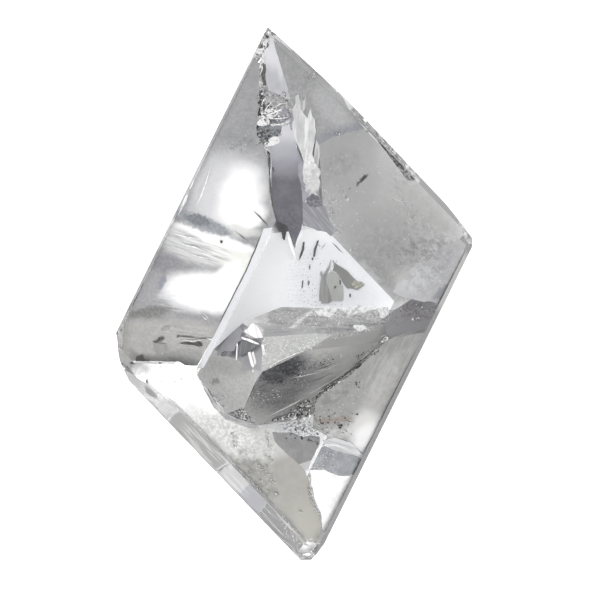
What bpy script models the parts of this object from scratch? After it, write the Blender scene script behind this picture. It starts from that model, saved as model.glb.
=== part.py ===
"""Clear rock crystal, polished into a flat-topped lozenge, with a smaller crystal grown into it.

The stone lies on its small flat back facet. Its long direction is +Y and the broad window faces +Z.
Two solids: the host crystal, and the inner crystal that fills a pocket in it and ends flush with its flank.
"""

import math

import bmesh
import bpy
from mathutils import Vector

MM = 0.001

# ---- Host crystal: driving dimensions ----
THICKNESS = 19.0 * MM
GIRDLE_Z = 13.5 * MM
LOW_GIRDLE_Z = 10.6 * MM
# Corners of the outline, seen from above, clockwise from the top point.
OUTLINE = {
    "top_point": (-3.5 * MM, 35.0 * MM),
    "upper_shoulder": (6.8 * MM, 25.5 * MM),
    "lower_shoulder": (19.9 * MM, 11.7 * MM),
    "right_corner": (23.4 * MM, 7.2 * MM),
    "right_heel": (23.25 * MM, 6.0 * MM),
    "tip_right": (3.9 * MM, -32.8 * MM),
    "tip": (2.2 * MM, -35.0 * MM),
    "tip_left": (0.8 * MM, -35.0 * MM),
    "left_heel": (-21.7 * MM, -11.5 * MM),
    "left_flat": (-22.9 * MM, -8.8 * MM),
    "left_corner": (-23.4 * MM, -5.2 * MM),
}
# Each back facet: the outline side it starts on, at what height, and how far it runs in to the rest facet.
BACK_FACETS = {
    "north_west": ("left_corner", "top_point", GIRDLE_Z, 12.2 * MM),
    "north_east": ("upper_shoulder", "lower_shoulder", LOW_GIRDLE_Z, 13.4 * MM),
    "south_east": ("right_heel", "tip_right", GIRDLE_Z, 5.6 * MM),
    "south_west": ("tip_left", "left_heel", GIRDLE_Z, 7.6 * MM),
}
# The narrow back facet runs from the top point down to this edge of the rest facet.
WEDGE_EDGE = ((-3.6 * MM, 8.1 * MM), (1.6 * MM, 8.7 * MM))
# Bevels round the window: the outline side, the width seen from above, and the drop.
WINDOW_BEVELS = (
    ("top_point", "upper_shoulder", 0.9 * MM, 1.1 * MM),
    ("upper_shoulder", "lower_shoulder", 0.8 * MM, 1.2 * MM),
    ("lower_shoulder", "right_corner", 0.5 * MM, 0.8 * MM),
    ("right_heel", "tip_right", 0.6 * MM, 1.0 * MM),
    ("tip_left", "left_heel", 2.2 * MM, 1.6 * MM),
    ("left_corner", "top_point", 0.35 * MM, 0.5 * MM),
)
# Small shell-shaped chips: the outline side, how far along it, the height, and the scoop's radius and depth.
CHIPS = (
    ("top_point", "upper_shoulder", 0.03, 18.2 * MM, 1.8 * MM, 0.7 * MM),
    ("left_corner", "top_point", 0.93, 14.6 * MM, 1.5 * MM, 0.4 * MM),
    ("upper_shoulder", "lower_shoulder", 0.16, 18.3 * MM, 1.7 * MM, 0.7 * MM),
    ("upper_shoulder", "lower_shoulder", 0.34, 18.2 * MM, 1.3 * MM, 0.6 * MM),
    ("upper_shoulder", "lower_shoulder", 0.48, 18.3 * MM, 1.0 * MM, 0.5 * MM),
    ("upper_shoulder", "lower_shoulder", 0.66, 18.2 * MM, 1.6 * MM, 0.6 * MM),
    ("lower_shoulder", "right_corner", 0.92, 18.3 * MM, 1.9 * MM, 0.7 * MM),
    ("tip_right", "tip", 0.4, 14.6 * MM, 1.5 * MM, 0.5 * MM),
    ("tip", "tip_left", 0.4, 18.0 * MM, 1.9 * MM, 0.8 * MM),
    ("left_flat", "left_corner", 0.8, 18.3 * MM, 1.7 * MM, 0.7 * MM),
)

# ---- Inner crystal: driving dimensions ----
# A blunt head at the left, faces that taper to a neck at the right, and a root that widens to the flank.
GAP = 0.3 * MM
CORNERS = {
    "summit": (-4.3, -10.3, 13.9),
    "bend": (1.9, -7.3, 13.5),
    "saddle": (10.7, -6.3, 10.4),
    "neck": (12.3, -4.1, 10.9),
    "neck_end": (14.5, -3.9, 10.6),
    "neck_low": (13.4, -4.2, 8.9),
    "bevel_mid": (3.9, -5.4, 13.2),
    "neck_north_low": (12.2, -2.5, 9.6),
    "neck_south": (12.0, -5.0, 10.85),
    "north_low": (-2.4, -2.1, 9.4),
    "north_mid": (-4.8, -3.8, 11.4),
    "north_high": (-4.3, -5.9, 13.0),
    "north_foot": (-4.8, -3.0, 4.4),
    "south_low": (-5.0, -17.3, 8.8),
    "south_mid": (2.0, -13.9, 8.35),
    "flank_mid": (9.2, -8.5, 9.35),
    "skirt_foot": (2.0, -16.5, 3.8),
    "flank_foot": (6.4, -12.2, 5.6),
    "saddle_foot": (11.4, -7.3, 7.9),
    "front_low": (2.0, -16.5, 4.0),
    "front_foot": (-5.0, -16.9, 3.8),
    "chin": (-6.75, -15.1, 11.25),
    "low_corner": (-8.7, -15.7, 9.85),
    "low_foot": (-8.4, -14.1, 2.0),
    "left_tip": (-12.6, -10.9, 8.4),
    "left_foot": (-10.8, -10.5, 3.4),
    "brow_low": (-11.3, -8.5, 10.4),
    "brow_high": (-5.7, -3.4, 11.8),
    "brow_end": (-5.1, -2.4, 9.4),
    "brow_foot": (-10.8, -11.5, 3.4),
    "keel_north": (2.0, -6.0, 3.8),
    "keel_south": (2.0, -14.0, 3.8),
}
# Each face of the inner crystal is the plane through three of those corners.
FACES = {
    "top": ("summit", "bend", "north_high"),
    "shoulder": ("bend", "saddle", "neck"),
    "upper_bevel": ("bevel_mid", "north_mid", "north_high"),
    "north": ("neck_north_low", "north_low", "north_mid"),
    "north_wall": ("neck_north_low", "north_low", "north_foot"),
    "south": ("summit", "bend", "south_low"),
    "skirt": ("south_low", "south_mid", "skirt_foot"),
    "flank_skirt": ("south_mid", "flank_mid", "flank_foot"),
    "neck_skirt": ("flank_mid", "neck_south", "saddle_foot"),
    "front": ("south_low", "front_low", "front_foot"),
    "head": ("summit", "left_tip", "chin"),
    "chin": ("chin", "low_corner", "south_low"),
    "brow": ("left_tip", "brow_low", "brow_high"),
    "brow_top": ("brow_low", "brow_high", "summit"),
    "west_wall": ("left_tip", "low_corner", "left_foot"),
    "south_wall": ("low_corner", "south_low", "low_foot"),
    "brow_wall": ("left_tip", "brow_end", "brow_foot"),
    "keel": ("neck_low", "keel_north", "keel_south"),
}
MIDDLE = (-1.0, -9.0, 8.0)
FLOOR_Z = 3.8 * MM
NECK = Vector((12.4, -4.5, 10.4)) * MM
ROOT_END = Vector((24.0, 0.9, 12.0)) * MM
NECK_RADIUS = 1.3 * MM
ROOT_RADIUS = 3.6 * MM
ROOT_SIDES = 6
# Etch pits in the pocket's wall: the face they lie on, and their places seen from above.
PITS = {
    "skirt": ((-1.8, -16.5), (-0.3, -16.2), (0.6, -15.0), (1.5, -16.3), (1.7, -14.7)),
    "flank_skirt": ((4.2, -12.75), (6.1, -11.4), (7.9, -10.1)),
    "neck_skirt": ((10.5, -7.5), (11.8, -5.95)),
}
PIT_RADIUS = 0.75 * MM


def outward(start, end):
    """The level direction out of the stone for a side of the clockwise outline."""
    along = Vector(end) - Vector(start)
    return Vector((-along.y, along.x, 0.0)).normalized()


def level(point, z):
    return Vector((point[0], point[1], z))


def grind(bm, point, normal):
    """Takes off all that lies beyond a plane, and closes the new face."""
    cut = bmesh.ops.bisect_plane(
        bm,
        geom=bm.verts[:] + bm.edges[:] + bm.faces[:],
        dist=1e-7,
        plane_co=point,
        plane_no=normal,
        clear_outer=True,
    )
    rim = [e for e in cut["geom_cut"] if isinstance(e, bmesh.types.BMEdge)]
    if rim:
        bmesh.ops.edgeloop_fill(bm, edges=rim)


def plane_through(a, b, c, inside):
    """(point, normal) of the plane through three corners, facing away from a point inside."""
    normal = (b - a).cross(c - a).normalized()
    if normal.dot(inside - a) > 0:
        normal.negate()
    return a, normal


def finish(name, bm, collection, material):
    bmesh.ops.remove_doubles(bm, verts=bm.verts, dist=1e-6)
    bmesh.ops.dissolve_limit(bm, angle_limit=math.radians(0.1), verts=bm.verts, edges=bm.edges)
    bmesh.ops.recalc_face_normals(bm, faces=bm.faces)
    mesh = bpy.data.meshes.new(name)
    bm.to_mesh(mesh)
    bm.free()
    piece = bpy.data.objects.new(name, mesh)
    mesh.materials.append(material)
    collection.objects.link(piece)
    return piece


def wall_planes():
    """(point, normal) of the upright walls of the outline."""
    names = list(OUTLINE)
    sides = zip(names, names[1:] + names[:1])
    return [(level(OUTLINE[a], 0.0), outward(OUTLINE[a], OUTLINE[b])) for a, b in sides]


def facet_planes():
    """(point, normal) of every facet ground after the outline: bevels, back facets and wedge."""
    planes = []
    for start, end, width, drop in WINDOW_BEVELS:
        p, q = OUTLINE[start], OUTLINE[end]
        out = outward(p, q)
        planes.append((level(p, THICKNESS - drop), (out * drop + Vector((0, 0, width))).normalized()))
    for start, end, height, inset in BACK_FACETS.values():
        p, q = OUTLINE[start], OUTLINE[end]
        out = outward(p, q)
        planes.append((level(p, height), (out * height - Vector((0, 0, inset))).normalized()))
    inside = Vector((0, 0, GIRDLE_Z))
    left, right = (level(p, 0.0) for p in WEDGE_EDGE)
    planes.append(plane_through(level(OUTLINE["top_point"], GIRDLE_Z), left, right, inside))
    return planes


def host_bmesh():
    bm = bmesh.new()
    corners = [bm.verts.new(level(p, 0.0)) for p in OUTLINE.values()]
    base = bm.faces.new(corners)
    walls = bmesh.ops.extrude_face_region(bm, geom=[base])
    top = [v for v in walls["geom"] if isinstance(v, bmesh.types.BMVert)]
    bmesh.ops.translate(bm, verts=top, vec=(0, 0, THICKNESS))
    bmesh.ops.recalc_face_normals(bm, faces=bm.faces)
    for point, normal in facet_planes():
        grind(bm, point, normal)
    return bm


def inner_faces():
    """(point, normal) of each named face of the inner crystal."""
    corner = {name: Vector(place) * MM for name, place in CORNERS.items()}
    middle = Vector(MIDDLE) * MM
    return {name: plane_through(corner[a], corner[b], corner[c], middle) for name, (a, b, c) in FACES.items()}


def inner_planes():
    """(point, normal) of the inner crystal's faces, its floor and the end of its neck."""
    planes = list(inner_faces().values())
    axis = (ROOT_END - NECK).normalized()
    planes.append((Vector((0, 0, FLOOR_Z)), Vector((0, 0, -1))))
    planes.append((Vector(CORNERS["neck_end"]) * MM, axis))
    return planes


def body_bmesh(grow):
    """The inner crystal's tapering body, its faces moved out by grow."""
    bm = bmesh.new()
    bmesh.ops.create_cube(bm, size=6 * THICKNESS)
    for point, normal in inner_planes():
        grind(bm, point + normal * grow, normal)
    return bm


def root_bmesh(grow):
    """The root: a six-sided taper from the neck out past the flank."""
    axis = ROOT_END - NECK
    bm = bmesh.new()
    bmesh.ops.create_cone(
        bm,
        cap_ends=True,
        segments=ROOT_SIDES,
        radius1=NECK_RADIUS + grow,
        radius2=ROOT_RADIUS + grow,
        depth=axis.length + 2 * grow,
    )
    bmesh.ops.rotate(bm, verts=bm.verts, matrix=axis.to_track_quat("Z", "Y").to_matrix())
    bmesh.ops.translate(bm, verts=bm.verts, vec=(NECK + ROOT_END) / 2)
    return bm


def flush_root_bmesh():
    """The root, ground off level with the host's flank."""
    bm = root_bmesh(0.0)
    for point, normal in facet_planes() + wall_planes():
        grind(bm, point, normal)
    return bm


def scoops_bmesh(scoops):
    """Small ball cutters, one for each (centre, radius)."""
    bm = bmesh.new()
    for centre, radius in scoops:
        ball = bmesh.ops.create_icosphere(bm, subdivisions=2, radius=radius)
        bmesh.ops.translate(bm, verts=ball["verts"], vec=centre)
    return bm


def chip_scoops():
    """(centre, radius) of each chip's scoop, which comes in from outside and above."""
    scoops = []
    for start, end, along, height, radius, depth in CHIPS:
        p, q = Vector(OUTLINE[start]), Vector(OUTLINE[end])
        side = (outward(p, q) + Vector((0, 0, 1))).normalized()
        scoops.append((level(p.lerp(q, along), height) + side * (radius - depth), radius))
    return scoops


def pit_scoops():
    """(centre, radius) of each pit, on its face of the inner crystal; large and small by turns."""
    faces = inner_faces()
    scoops = []
    for face, places in PITS.items():
        point, normal = faces[face]
        for i, place in enumerate(places):
            centre = level(Vector(place) * MM, 0.0)
            centre.z = (point - centre).dot(normal) / normal.z
            scoops.append((centre, PIT_RADIUS * (1.0 if i % 2 else 0.7)))
    return scoops


def clear_material(name, colour):
    material = bpy.data.materials.new(name)
    material.use_nodes = True
    shader = material.node_tree.nodes["Principled BSDF"]
    shader.inputs["Base Color"].default_value = (*colour, 1.0)
    shader.inputs["Roughness"].default_value = 0.03
    shader.inputs["Metallic"].default_value = 0.0
    shader.inputs["IOR"].default_value = 1.544
    shader.inputs["Transmission Weight"].default_value = 1.0
    return material


def boolean(piece, other, operation):
    step = piece.modifiers.new(other.name, "BOOLEAN")
    step.operation = operation
    step.object = other
    other.hide_render = True
    other.display_type = "WIRE"


def main():
    for old in list(bpy.data.objects):
        bpy.data.objects.remove(old)
    parts = bpy.data.collections.new("crackle_quartz")
    cutters = bpy.data.collections.new("cutters")
    for collection in (parts, cutters):
        bpy.context.scene.collection.children.link(collection)
    quartz = clear_material("rock_crystal", (0.97, 0.98, 0.98))
    host = finish("host_crystal", host_bmesh(), parts, quartz)
    inner = finish("inner_crystal", body_bmesh(0.0), parts, quartz)
    boolean(inner, finish("root", flush_root_bmesh(), cutters, quartz), "UNION")
    boolean(host, finish("pocket_body", body_bmesh(GAP), cutters, quartz), "DIFFERENCE")
    boolean(host, finish("pocket_root", root_bmesh(GAP), cutters, quartz), "DIFFERENCE")
    boolean(host, finish("pits", scoops_bmesh(pit_scoops()), cutters, quartz), "DIFFERENCE")
    boolean(host, finish("chips", scoops_bmesh(chip_scoops()), cutters, quartz), "DIFFERENCE")


main()
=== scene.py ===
"""Looks of a polished lozenge of clear rock crystal with a smaller crystal inside it.

The clear host and the inner crystal come from their CAD solids. In them lie the flaws that give the stone its
name: flat healed cracks that mirror the sky like silver, skins of fine inclusions, threads and grains. Each
flaw is a thin closed sheet or a grain, inside the crystal, with its outline seen from above. Some colours are
painted light: the faces' tints, the dark lower-right bevel and the sheets named shade and shadow are painted
shade; the sheets named sheen, light and gleams, the lighter patches of the left sheet, the white patches
under the brow gleams and the pale strip by the resting facet are painted light.

The file is laid out as an add-on: property groups hold the sizes and colours, one operator makes each group
of pieces, and main() runs them in order. Lengths in the tables are in millimetres, with the origin under the
middle of the stone, X to the right and Y to the top, as seen from above.
"""

import math
import random

import bmesh
import bpy
from bpy.props import FloatProperty, FloatVectorProperty, IntProperty, PointerProperty
from mathutils import Matrix, Vector, noise
from mathutils.bvhtree import BVHTree


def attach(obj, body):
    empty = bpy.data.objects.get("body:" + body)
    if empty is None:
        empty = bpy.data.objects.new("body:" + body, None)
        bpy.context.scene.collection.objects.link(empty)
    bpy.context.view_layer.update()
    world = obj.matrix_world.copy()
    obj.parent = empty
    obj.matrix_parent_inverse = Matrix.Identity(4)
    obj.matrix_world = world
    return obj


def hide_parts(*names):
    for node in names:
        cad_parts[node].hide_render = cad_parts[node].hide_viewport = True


bl_info = {
    "name": "Crackle Quartz",
    "version": (1, 0, 0),
    "blender": (4, 5, 0),
    "location": "View3D > Sidebar > Quartz",
    "description": "Clear rock crystal lozenge with an inner crystal, crackle and veils",
    "category": "Object",
}

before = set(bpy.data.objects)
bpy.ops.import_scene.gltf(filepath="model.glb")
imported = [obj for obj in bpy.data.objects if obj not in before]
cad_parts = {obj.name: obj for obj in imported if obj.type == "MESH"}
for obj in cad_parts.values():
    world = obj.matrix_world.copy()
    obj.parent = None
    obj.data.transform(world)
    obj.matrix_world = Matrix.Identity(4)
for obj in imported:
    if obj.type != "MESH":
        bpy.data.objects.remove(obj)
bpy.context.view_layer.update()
BODY = "root"
MM = 0.001
# Triangles of a CAD solid are one facet where they lean against each other by less than this.
FACET_ANGLE = math.radians(0.2)
FACET_GAP = 0.002 * MM


# ---- Small helpers ----


def linear(hex_colour):
    """sRGB hex, such as "c8ccd0", as linear red, green and blue."""
    channels = [int(hex_colour[i : i + 2], 16) / 255 for i in (0, 2, 4)]
    return tuple(c / 12.92 if c <= 0.04045 else ((c + 0.055) / 1.055) ** 2.4 for c in channels)


def fill(tree, node, **inputs):
    """Fills a node's inputs, each with a value or with a link from a socket. _0 is the first input."""
    for name, value in inputs.items():
        socket = node.inputs[int(name[1:]) if name[1:].isdigit() else name.replace("_", " ")]
        if isinstance(value, bpy.types.NodeSocket):
            tree.links.new(value, socket)
        else:
            socket.default_value = value


def add_node(tree, kind, settings=None, **inputs):
    """Adds a node. settings are its own properties."""
    node = tree.nodes.new(kind)
    for name, value in (settings or {}).items():
        setattr(node, name, value)
    fill(tree, node, **inputs)
    return node


def length_property(name, description, millimetres):
    """A property for a length, with its default in millimetres."""
    default = millimetres * MM
    return FloatProperty(name=name, description=description, default=default, unit="LENGTH", precision=5)


def number_property(name, description, default):
    """A property for a plain number, zero or more."""
    return FloatProperty(name=name, description=description, default=default, min=0.0)


def colour_property(name, description, hex_colour):
    """A property for a colour, with its default as sRGB hex."""
    return FloatVectorProperty(
        name=name, description=description, default=linear(hex_colour), subtype="COLOR", min=0.0, max=1.0
    )


class StoneFinishAndShade(bpy.types.PropertyGroup):
    """Finish of the crystal's polished, ground and natural faces, and the painted shade tints of its faces.
    """

    refraction: number_property("Refraction", "Index of refraction of quartz", 1.544)
    # The face tints below are painted shade. They darken what each clear face lets through, standing for the
    # dim floor and the shade seen through the stone.
    rest_tint: colour_property("Resting face", "Tint of the face that the stone lies on", "fbfcff")
    wedge_tint: colour_property("Upper face", "Tint of the narrow sloping face under the point", "dadadb")
    north_east_tint: colour_property("North-east face", "Tint of the large face on the right", "868686")
    south_west_tint: colour_property("South-west face", "Tint of the ground face, lower left", "ededed")
    south_east_tint: colour_property("South-east face", "Tint of the ground face, lower right", "aaaaaa")
    polish_haze: number_property("Polish haze", "Largest roughness left by polishing", 0.04)
    growth_haze: number_property("Growth haze", "Roughness of the growth lines", 0.12)
    smoke: colour_property("Smoke", "Colour that the inner crystal lets through", "e6e6e8")
    smoke_density: number_property("Smoke density", "Absorption per metre in the inner crystal", 4.0)


class FlawSizes(bpy.types.PropertyGroup):
    """Sizes and colours of the cracks, threads and grains inside the stone."""

    thickness: length_property("Crack thickness", "Thickness of a crack, a skin or a thread", 0.03)
    cover: length_property("Cover", "Clear crystal left over the flaws that reach the top", 0.3)
    edge_step: length_property("Edge step", "Distance between the nicks of a ragged edge", 0.35)
    lean: FloatProperty(
        name="Lean",
        description="Lean of the flat cracks",
        default=math.radians(6.0),
        subtype="ANGLE",
        unit="ROTATION",
    )
    west_level: length_property("West level", "Height of the flat cracks on the left", 15.2)
    keel_level: length_property("Keel level", "Height of the flat cracks at the bottom", 19.3)
    crown_level: length_property("Crown level", "Height of the flat cracks under the point", 14.6)
    east_level: length_property("East level", "Height of the flat crack on the right", 17.8)
    grain_scale: number_property("Grain scale", "Scale of all the grains", 1.5)
    seed: IntProperty(name="Seed", description="Changes where the grains lie", default=0, min=0)
    pale_thread: colour_property("Pale threads", "Colour of the white threads", "f2f2f0")
    bright_thread: colour_property("Bright threads", "Colour of the silvery threads", "e0e0e0")
    dark_thread: colour_property("Dark threads", "Colour of the dark threads", "484848")
    white_grain: colour_property("White grains", "Colour of the white grains", "ffffff")
    bright_grain: colour_property("Bright grains", "Colour of the silvery grains", "e8e8e8")
    dark_grain: colour_property("Dark grains", "Colour of the dark grains", "2c2c2e")


class StudioLight(bpy.types.PropertyGroup):
    """Floor, lights and lens of the studio."""

    floor: colour_property("Floor", "Colour of the paper that the stone lies on", "f9f9f9")
    floor_glow: number_property("Floor glow", "Light that the lit paper adds", 0.32)
    horizon: number_property("Horizon", "Strength of the soft light from the sides", 0.56)
    zenith: number_property("Zenith", "Strength of the soft light from above", 2.1)
    lens_shade: number_property("Lens shade", "Share of the light where the lens is", 0.15)
    overhead: number_property("Overhead lamp", "Radiance of the lamp over the stone", 6.0)
    side: number_property("Side lamp", "Radiance of the low lamp at the side", 4.0)
    focal_length: number_property("Focal length", "Focal length in millimetres", 150.0)
    field: length_property("Field", "Width of what the camera sees, 16 mm above the floor", 79.1)


def place(name, data):
    """An object of this data, in the scene."""
    thing = bpy.data.objects.new(name, data)
    bpy.context.scene.collection.objects.link(thing)
    return thing


def new_mesh(name, bm, materials=()):
    """A mesh of the bmesh, which it uses up."""
    mesh = bpy.data.meshes.new(name)
    bm.to_mesh(mesh)
    bm.free()
    for material in materials:
        mesh.materials.append(material)
    return mesh


def new_piece(name, bm, materials):
    """Makes the object, on the stone's body, from a bmesh that is already in place."""
    piece = place(name, new_mesh(name, bm, materials))
    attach(piece, BODY)
    return piece


def merged_copy(node):
    """A copy of a CAD solid as a bmesh, with its loose triangles joined back into whole facets."""
    bm = bmesh.new()
    bm.from_mesh(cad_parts[node].data)
    bmesh.ops.remove_doubles(bm, verts=bm.verts, dist=FACET_GAP)
    bmesh.ops.dissolve_limit(bm, angle_limit=FACET_ANGLE, verts=bm.verts, edges=bm.edges)
    return bm


# ---- Materials ----

# Taller than the stone, so that a mark reaches through all of it.
COLUMN_HEIGHT = 1000.0
# Size of the ribs and of the polishing strokes, in millimetres, and the turn of the growth lines, in degrees.
RIB_SIZE = (4.0, 0.3, 4.0)
STROKE_SIZE = (9.0, 1.5, 9.0)
GROWTH_TURN = 32.0
# Noise textures: waves in a millimetre, detail, roughness, and the values where they start and are full.
CLOUDS = {
    "mottled": (1.1, 6.0, 0.65, 0.36, 0.66),
    "grainy": (2.6, 5.0, 0.7, 0.46, 0.58),
    "crumbly": (2.6, 5.0, 0.65, 0.46, 0.58),
    "cloudy": (0.7, 5.0, 0.65, 0.35, 0.68),
}
# The dusty texture is fine dots: how many in a millimetre, and how far from its middle a dot starts and is
# full.
DOTS_PER_MM = 2.4
DOT_EDGE = (0.26, 0.14)
# The edge of a mark is pushed about by noise: waves in a millimetre, and how far in millimetres.
SMOOTH_EDGE = (0.35, 0.8)
ROUGH_EDGE = (2.2, 0.5)
# The values of the noise where a rib and a polishing stroke start and are full.
RIB_EDGE = (0.47, 0.6)
STROKE_EDGE = (0.4, 0.7)


def new_material(name):
    """A new material with its node tree and its shader."""
    material = bpy.data.materials.new(name)
    material.use_nodes = True
    return material, material.node_tree, material.node_tree.nodes["Principled BSDF"]


def clear_quartz(name, roughness, tint=(1.0, 1.0, 1.0)):
    """Polished or ground rock crystal: glass-clear, with quartz's own refraction. A tint below white is
    painted shade.
    """
    material, tree, shader = new_material(name)
    refraction = bpy.context.scene.stone_finish.refraction
    fill(tree, shader, Base_Color=(*tint, 1), Roughness=roughness, IOR=refraction, Transmission_Weight=1.0)
    return material, tree, shader


def vector(tree, operation, **inputs):
    """One step of arithmetic with vectors."""
    return add_node(tree, "ShaderNodeVectorMath", {"operation": operation}, **inputs).outputs[0]


def times(tree, a, b):
    """One value times the other."""
    return add_node(tree, "ShaderNodeMath", {"operation": "MULTIPLY"}, _0=a, _1=b).outputs[0]


def mixed(tree, factor, colour, other):
    """The first colour where the factor is 0 and the other where it is 1."""
    return add_node(tree, "ShaderNodeMix", {"data_type": "RGBA"}, _0=factor, _6=colour, _7=other).outputs[2]


def millimetres(tree):
    """Object coordinates in millimetres."""
    coords = add_node(tree, "ShaderNodeTexCoord").outputs["Object"]
    return vector(tree, "SCALE", Vector=coords, Scale=1 / MM)


def framed(tree, coords, **inputs):
    """The coordinates as seen from a frame that is moved, turned or stretched."""
    return add_node(tree, "ShaderNodeMapping", {"vector_type": "TEXTURE"}, Vector=coords, **inputs).outputs[0]


def threshold(tree, value, low, high, top=1.0, bottom=0.0):
    """bottom below low, changing smoothly to top above high. Where low is the larger, it is the other way."""
    smooth = {"interpolation_type": "SMOOTHSTEP"}
    ends = {"From_Min": low, "From_Max": high, "To_Min": bottom, "To_Max": top}
    return add_node(tree, "ShaderNodeMapRange", smooth, Value=value, **ends).outputs["Result"]


def cloud(tree, coords, scale, detail, roughness=0.5):
    """A node of noise, with that many waves in a unit of the coordinates."""
    inputs = {"Vector": coords, "Scale": scale, "Detail": detail, "Roughness": roughness}
    return add_node(tree, "ShaderNodeTexNoise", **inputs)


def wavered(tree, coords, per_mm, reach):
    """Coordinates pushed about by noise: per_mm waves in a millimetre, up to about reach millimetres."""
    waves = cloud(tree, coords, scale=per_mm, detail=4.0).outputs["Color"]
    push = vector(tree, "SUBTRACT", _0=waves, _1=(0.5, 0.5, 0.5))
    push = vector(tree, "SCALE", Vector=push, Scale=2 * reach)
    return vector(tree, "ADD", _0=coords, _1=push)


def spot(tree, coords, x, y, length, width, turn, soft):
    """1 inside an upright elliptic column and 0 outside it. Its edge is soft by that share of its size."""
    size = (length / 2, width / 2, COLUMN_HEIGHT)
    inside = framed(tree, coords, Location=(x, y, 0), Rotation=(0, 0, math.radians(turn)), Scale=size)
    reach = add_node(tree, "ShaderNodeVectorMath", {"operation": "LENGTH"}, Vector=inside).outputs["Value"]
    return threshold(tree, reach, 1 + soft, 1 - soft)


def ribs(tree, coords, turn):
    """Fine ribs that run in one direction: about three across a millimetre, and some millimetres long."""
    along = framed(tree, coords, Rotation=(0, 0, math.radians(turn)), Scale=RIB_SIZE)
    waves = cloud(tree, along, scale=1.0, detail=3.0).outputs["Fac"]
    return threshold(tree, waves, *RIB_EDGE)


def texture(tree, coords, kind):
    """One of the textures, from 0 to 1."""
    if kind == "dusty":
        dots = add_node(tree, "ShaderNodeTexVoronoi", Vector=coords, Scale=DOTS_PER_MM)
        return threshold(tree, dots.outputs["Distance"], *DOT_EDGE)
    scale, detail, roughness, low, high = CLOUDS[kind]
    return threshold(tree, cloud(tree, coords, scale, detail, roughness).outputs["Fac"], low, high)


def mark_masks(tree, coords, marks):
    """Where each mark lies, from 0 to 1, and its colour.

    A mark is (x, y, length, width, turn, softness, cover, colour, texture), in millimetres and degrees. Its
    texture is even, ragged at the edge, ribbed along its length, mottled, grainy, or dusty with fine dots.
    """
    smooth = wavered(tree, coords, *SMOOTH_EDGE)
    rough = wavered(tree, coords, *ROUGH_EDGE)
    textures = {kind: texture(tree, coords, kind) for kind in ("mottled", "grainy", "dusty")}
    for x, y, length, width, turn, soft, cover, tone, kind in marks:
        where = smooth if kind == "even" else rough
        mask = times(tree, spot(tree, where, x, y, length, width, turn, soft), cover)
        if kind == "ribbed":
            mask = times(tree, mask, ribs(tree, coords, turn))
        elif kind in textures:
            mask = times(tree, mask, textures[kind])
        yield mask, (*linear(tone), 1)


def polished_quartz(name):
    """Rock crystal as the polishing lap leaves it: clear, with the faintest haze in long strokes."""
    material, tree, shader = clear_quartz(name, 0.0)
    strokes = framed(tree, millimetres(tree), Scale=STROKE_SIZE)
    haze = cloud(tree, strokes, scale=1.0, detail=4.0).outputs["Fac"]
    most = bpy.context.scene.stone_finish.polish_haze
    fill(tree, shader, Roughness=threshold(tree, haze, *STROKE_EDGE, most))
    return material


def grown_quartz(name):
    """Rock crystal as it grew, not cut: faintly smoky, with the fine growth lines of a prism's faces."""
    finish_and_shade = bpy.context.scene.stone_finish
    material, tree, shader = clear_quartz(name, 0.0)
    colour = (*finish_and_shade.smoke, 1)
    smoke = add_node(tree, "ShaderNodeVolumeAbsorption", Color=colour, Density=finish_and_shade.smoke_density)
    fill(tree, tree.nodes["Material Output"], Volume=smoke.outputs[0])
    lines = ribs(tree, millimetres(tree), GROWTH_TURN)
    fill(tree, shader, Roughness=times(tree, lines, finish_and_shade.growth_haze))
    return material


def marked_quartz(name, roughness, tint, marks):
    """A face of the crystal with stains, frost and flaws on it, one after another. Its tint is painted shade.
    """
    material, tree, shader = clear_quartz(name, roughness, tint)
    if not marks:
        return material
    colour = (*tint, 1)
    clear = 1.0
    for mask, tone in mark_masks(tree, millimetres(tree), marks):
        colour = mixed(tree, mask, colour, tone)
        clear = add_node(tree, "ShaderNodeMix", {"data_type": "FLOAT"}, _0=mask, _2=clear, _3=0.0).outputs[0]
    fill(tree, shader, Base_Color=colour, Transmission_Weight=clear)
    return material


# ---- Faces of the stone, and faces of the inner crystal, which are walls of the hollow that it fills: the
# compass direction and the elevation that each one faces, in degrees ----

FACE_TOLERANCE = math.radians(1.5)

HOST_FACES = {
    "rest": (0.0, -90.0),
    "wedge": (96.6, -63.2),
    "north_east": (43.5, -51.7),
    "north_west": (153.7, -42.1),
    "south_west": (223.8, -29.4),
    "south_east": (333.5, -22.5),
    "south_west_bevel": (223.8, 54.0),
    "south_east_bevel": (333.5, 31.0),
    "north_east_bevel": (43.5, 33.7),
    "top_bevel": (47.3, 39.3),
    "north_west_bevel": (153.7, 35.0),
}
CRYSTAL_FACES = {
    "south": (299.6, 48.4),
    "skirt": (297.6, 26.9),
    "flank_skirt": (304.4, 21.5),
    "neck_skirt": (313.0, 23.3),
    "head": (199.0, 55.6),
    "chin": (257.4, 35.8),
    "brow_top": (154.3, 63.7),
    "top": (99.6, 78.3),
    "shoulder": (308.0, 56.2),
    "upper_bevel": (95.4, 53.2),
    "north": (89.1, 41.0),
    "root_left": (142.5, 56.1),
    "root_right": (267.4, 56.1),
}


def direction(turn, height):
    """The unit vector with this compass direction and elevation."""
    turn, height = math.radians(turn), math.radians(height)
    return Vector((math.cos(turn) * math.cos(height), math.sin(turn) * math.cos(height), math.sin(height)))


def named_face(face):
    """The name of the face's direction, or None. The walls of the hollow face inwards."""
    for names, sign in ((HOST_FACES, 1.0), (CRYSTAL_FACES, -1.0)):
        for name, (turn, height) in names.items():
            if direction(turn, height).angle(face.normal * sign, math.pi) < FACE_TOLERANCE:
                return name
    return None


# ---- Marks on the faces: (x, y, length, width, turn, softness, cover, colour, texture) ----

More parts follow.
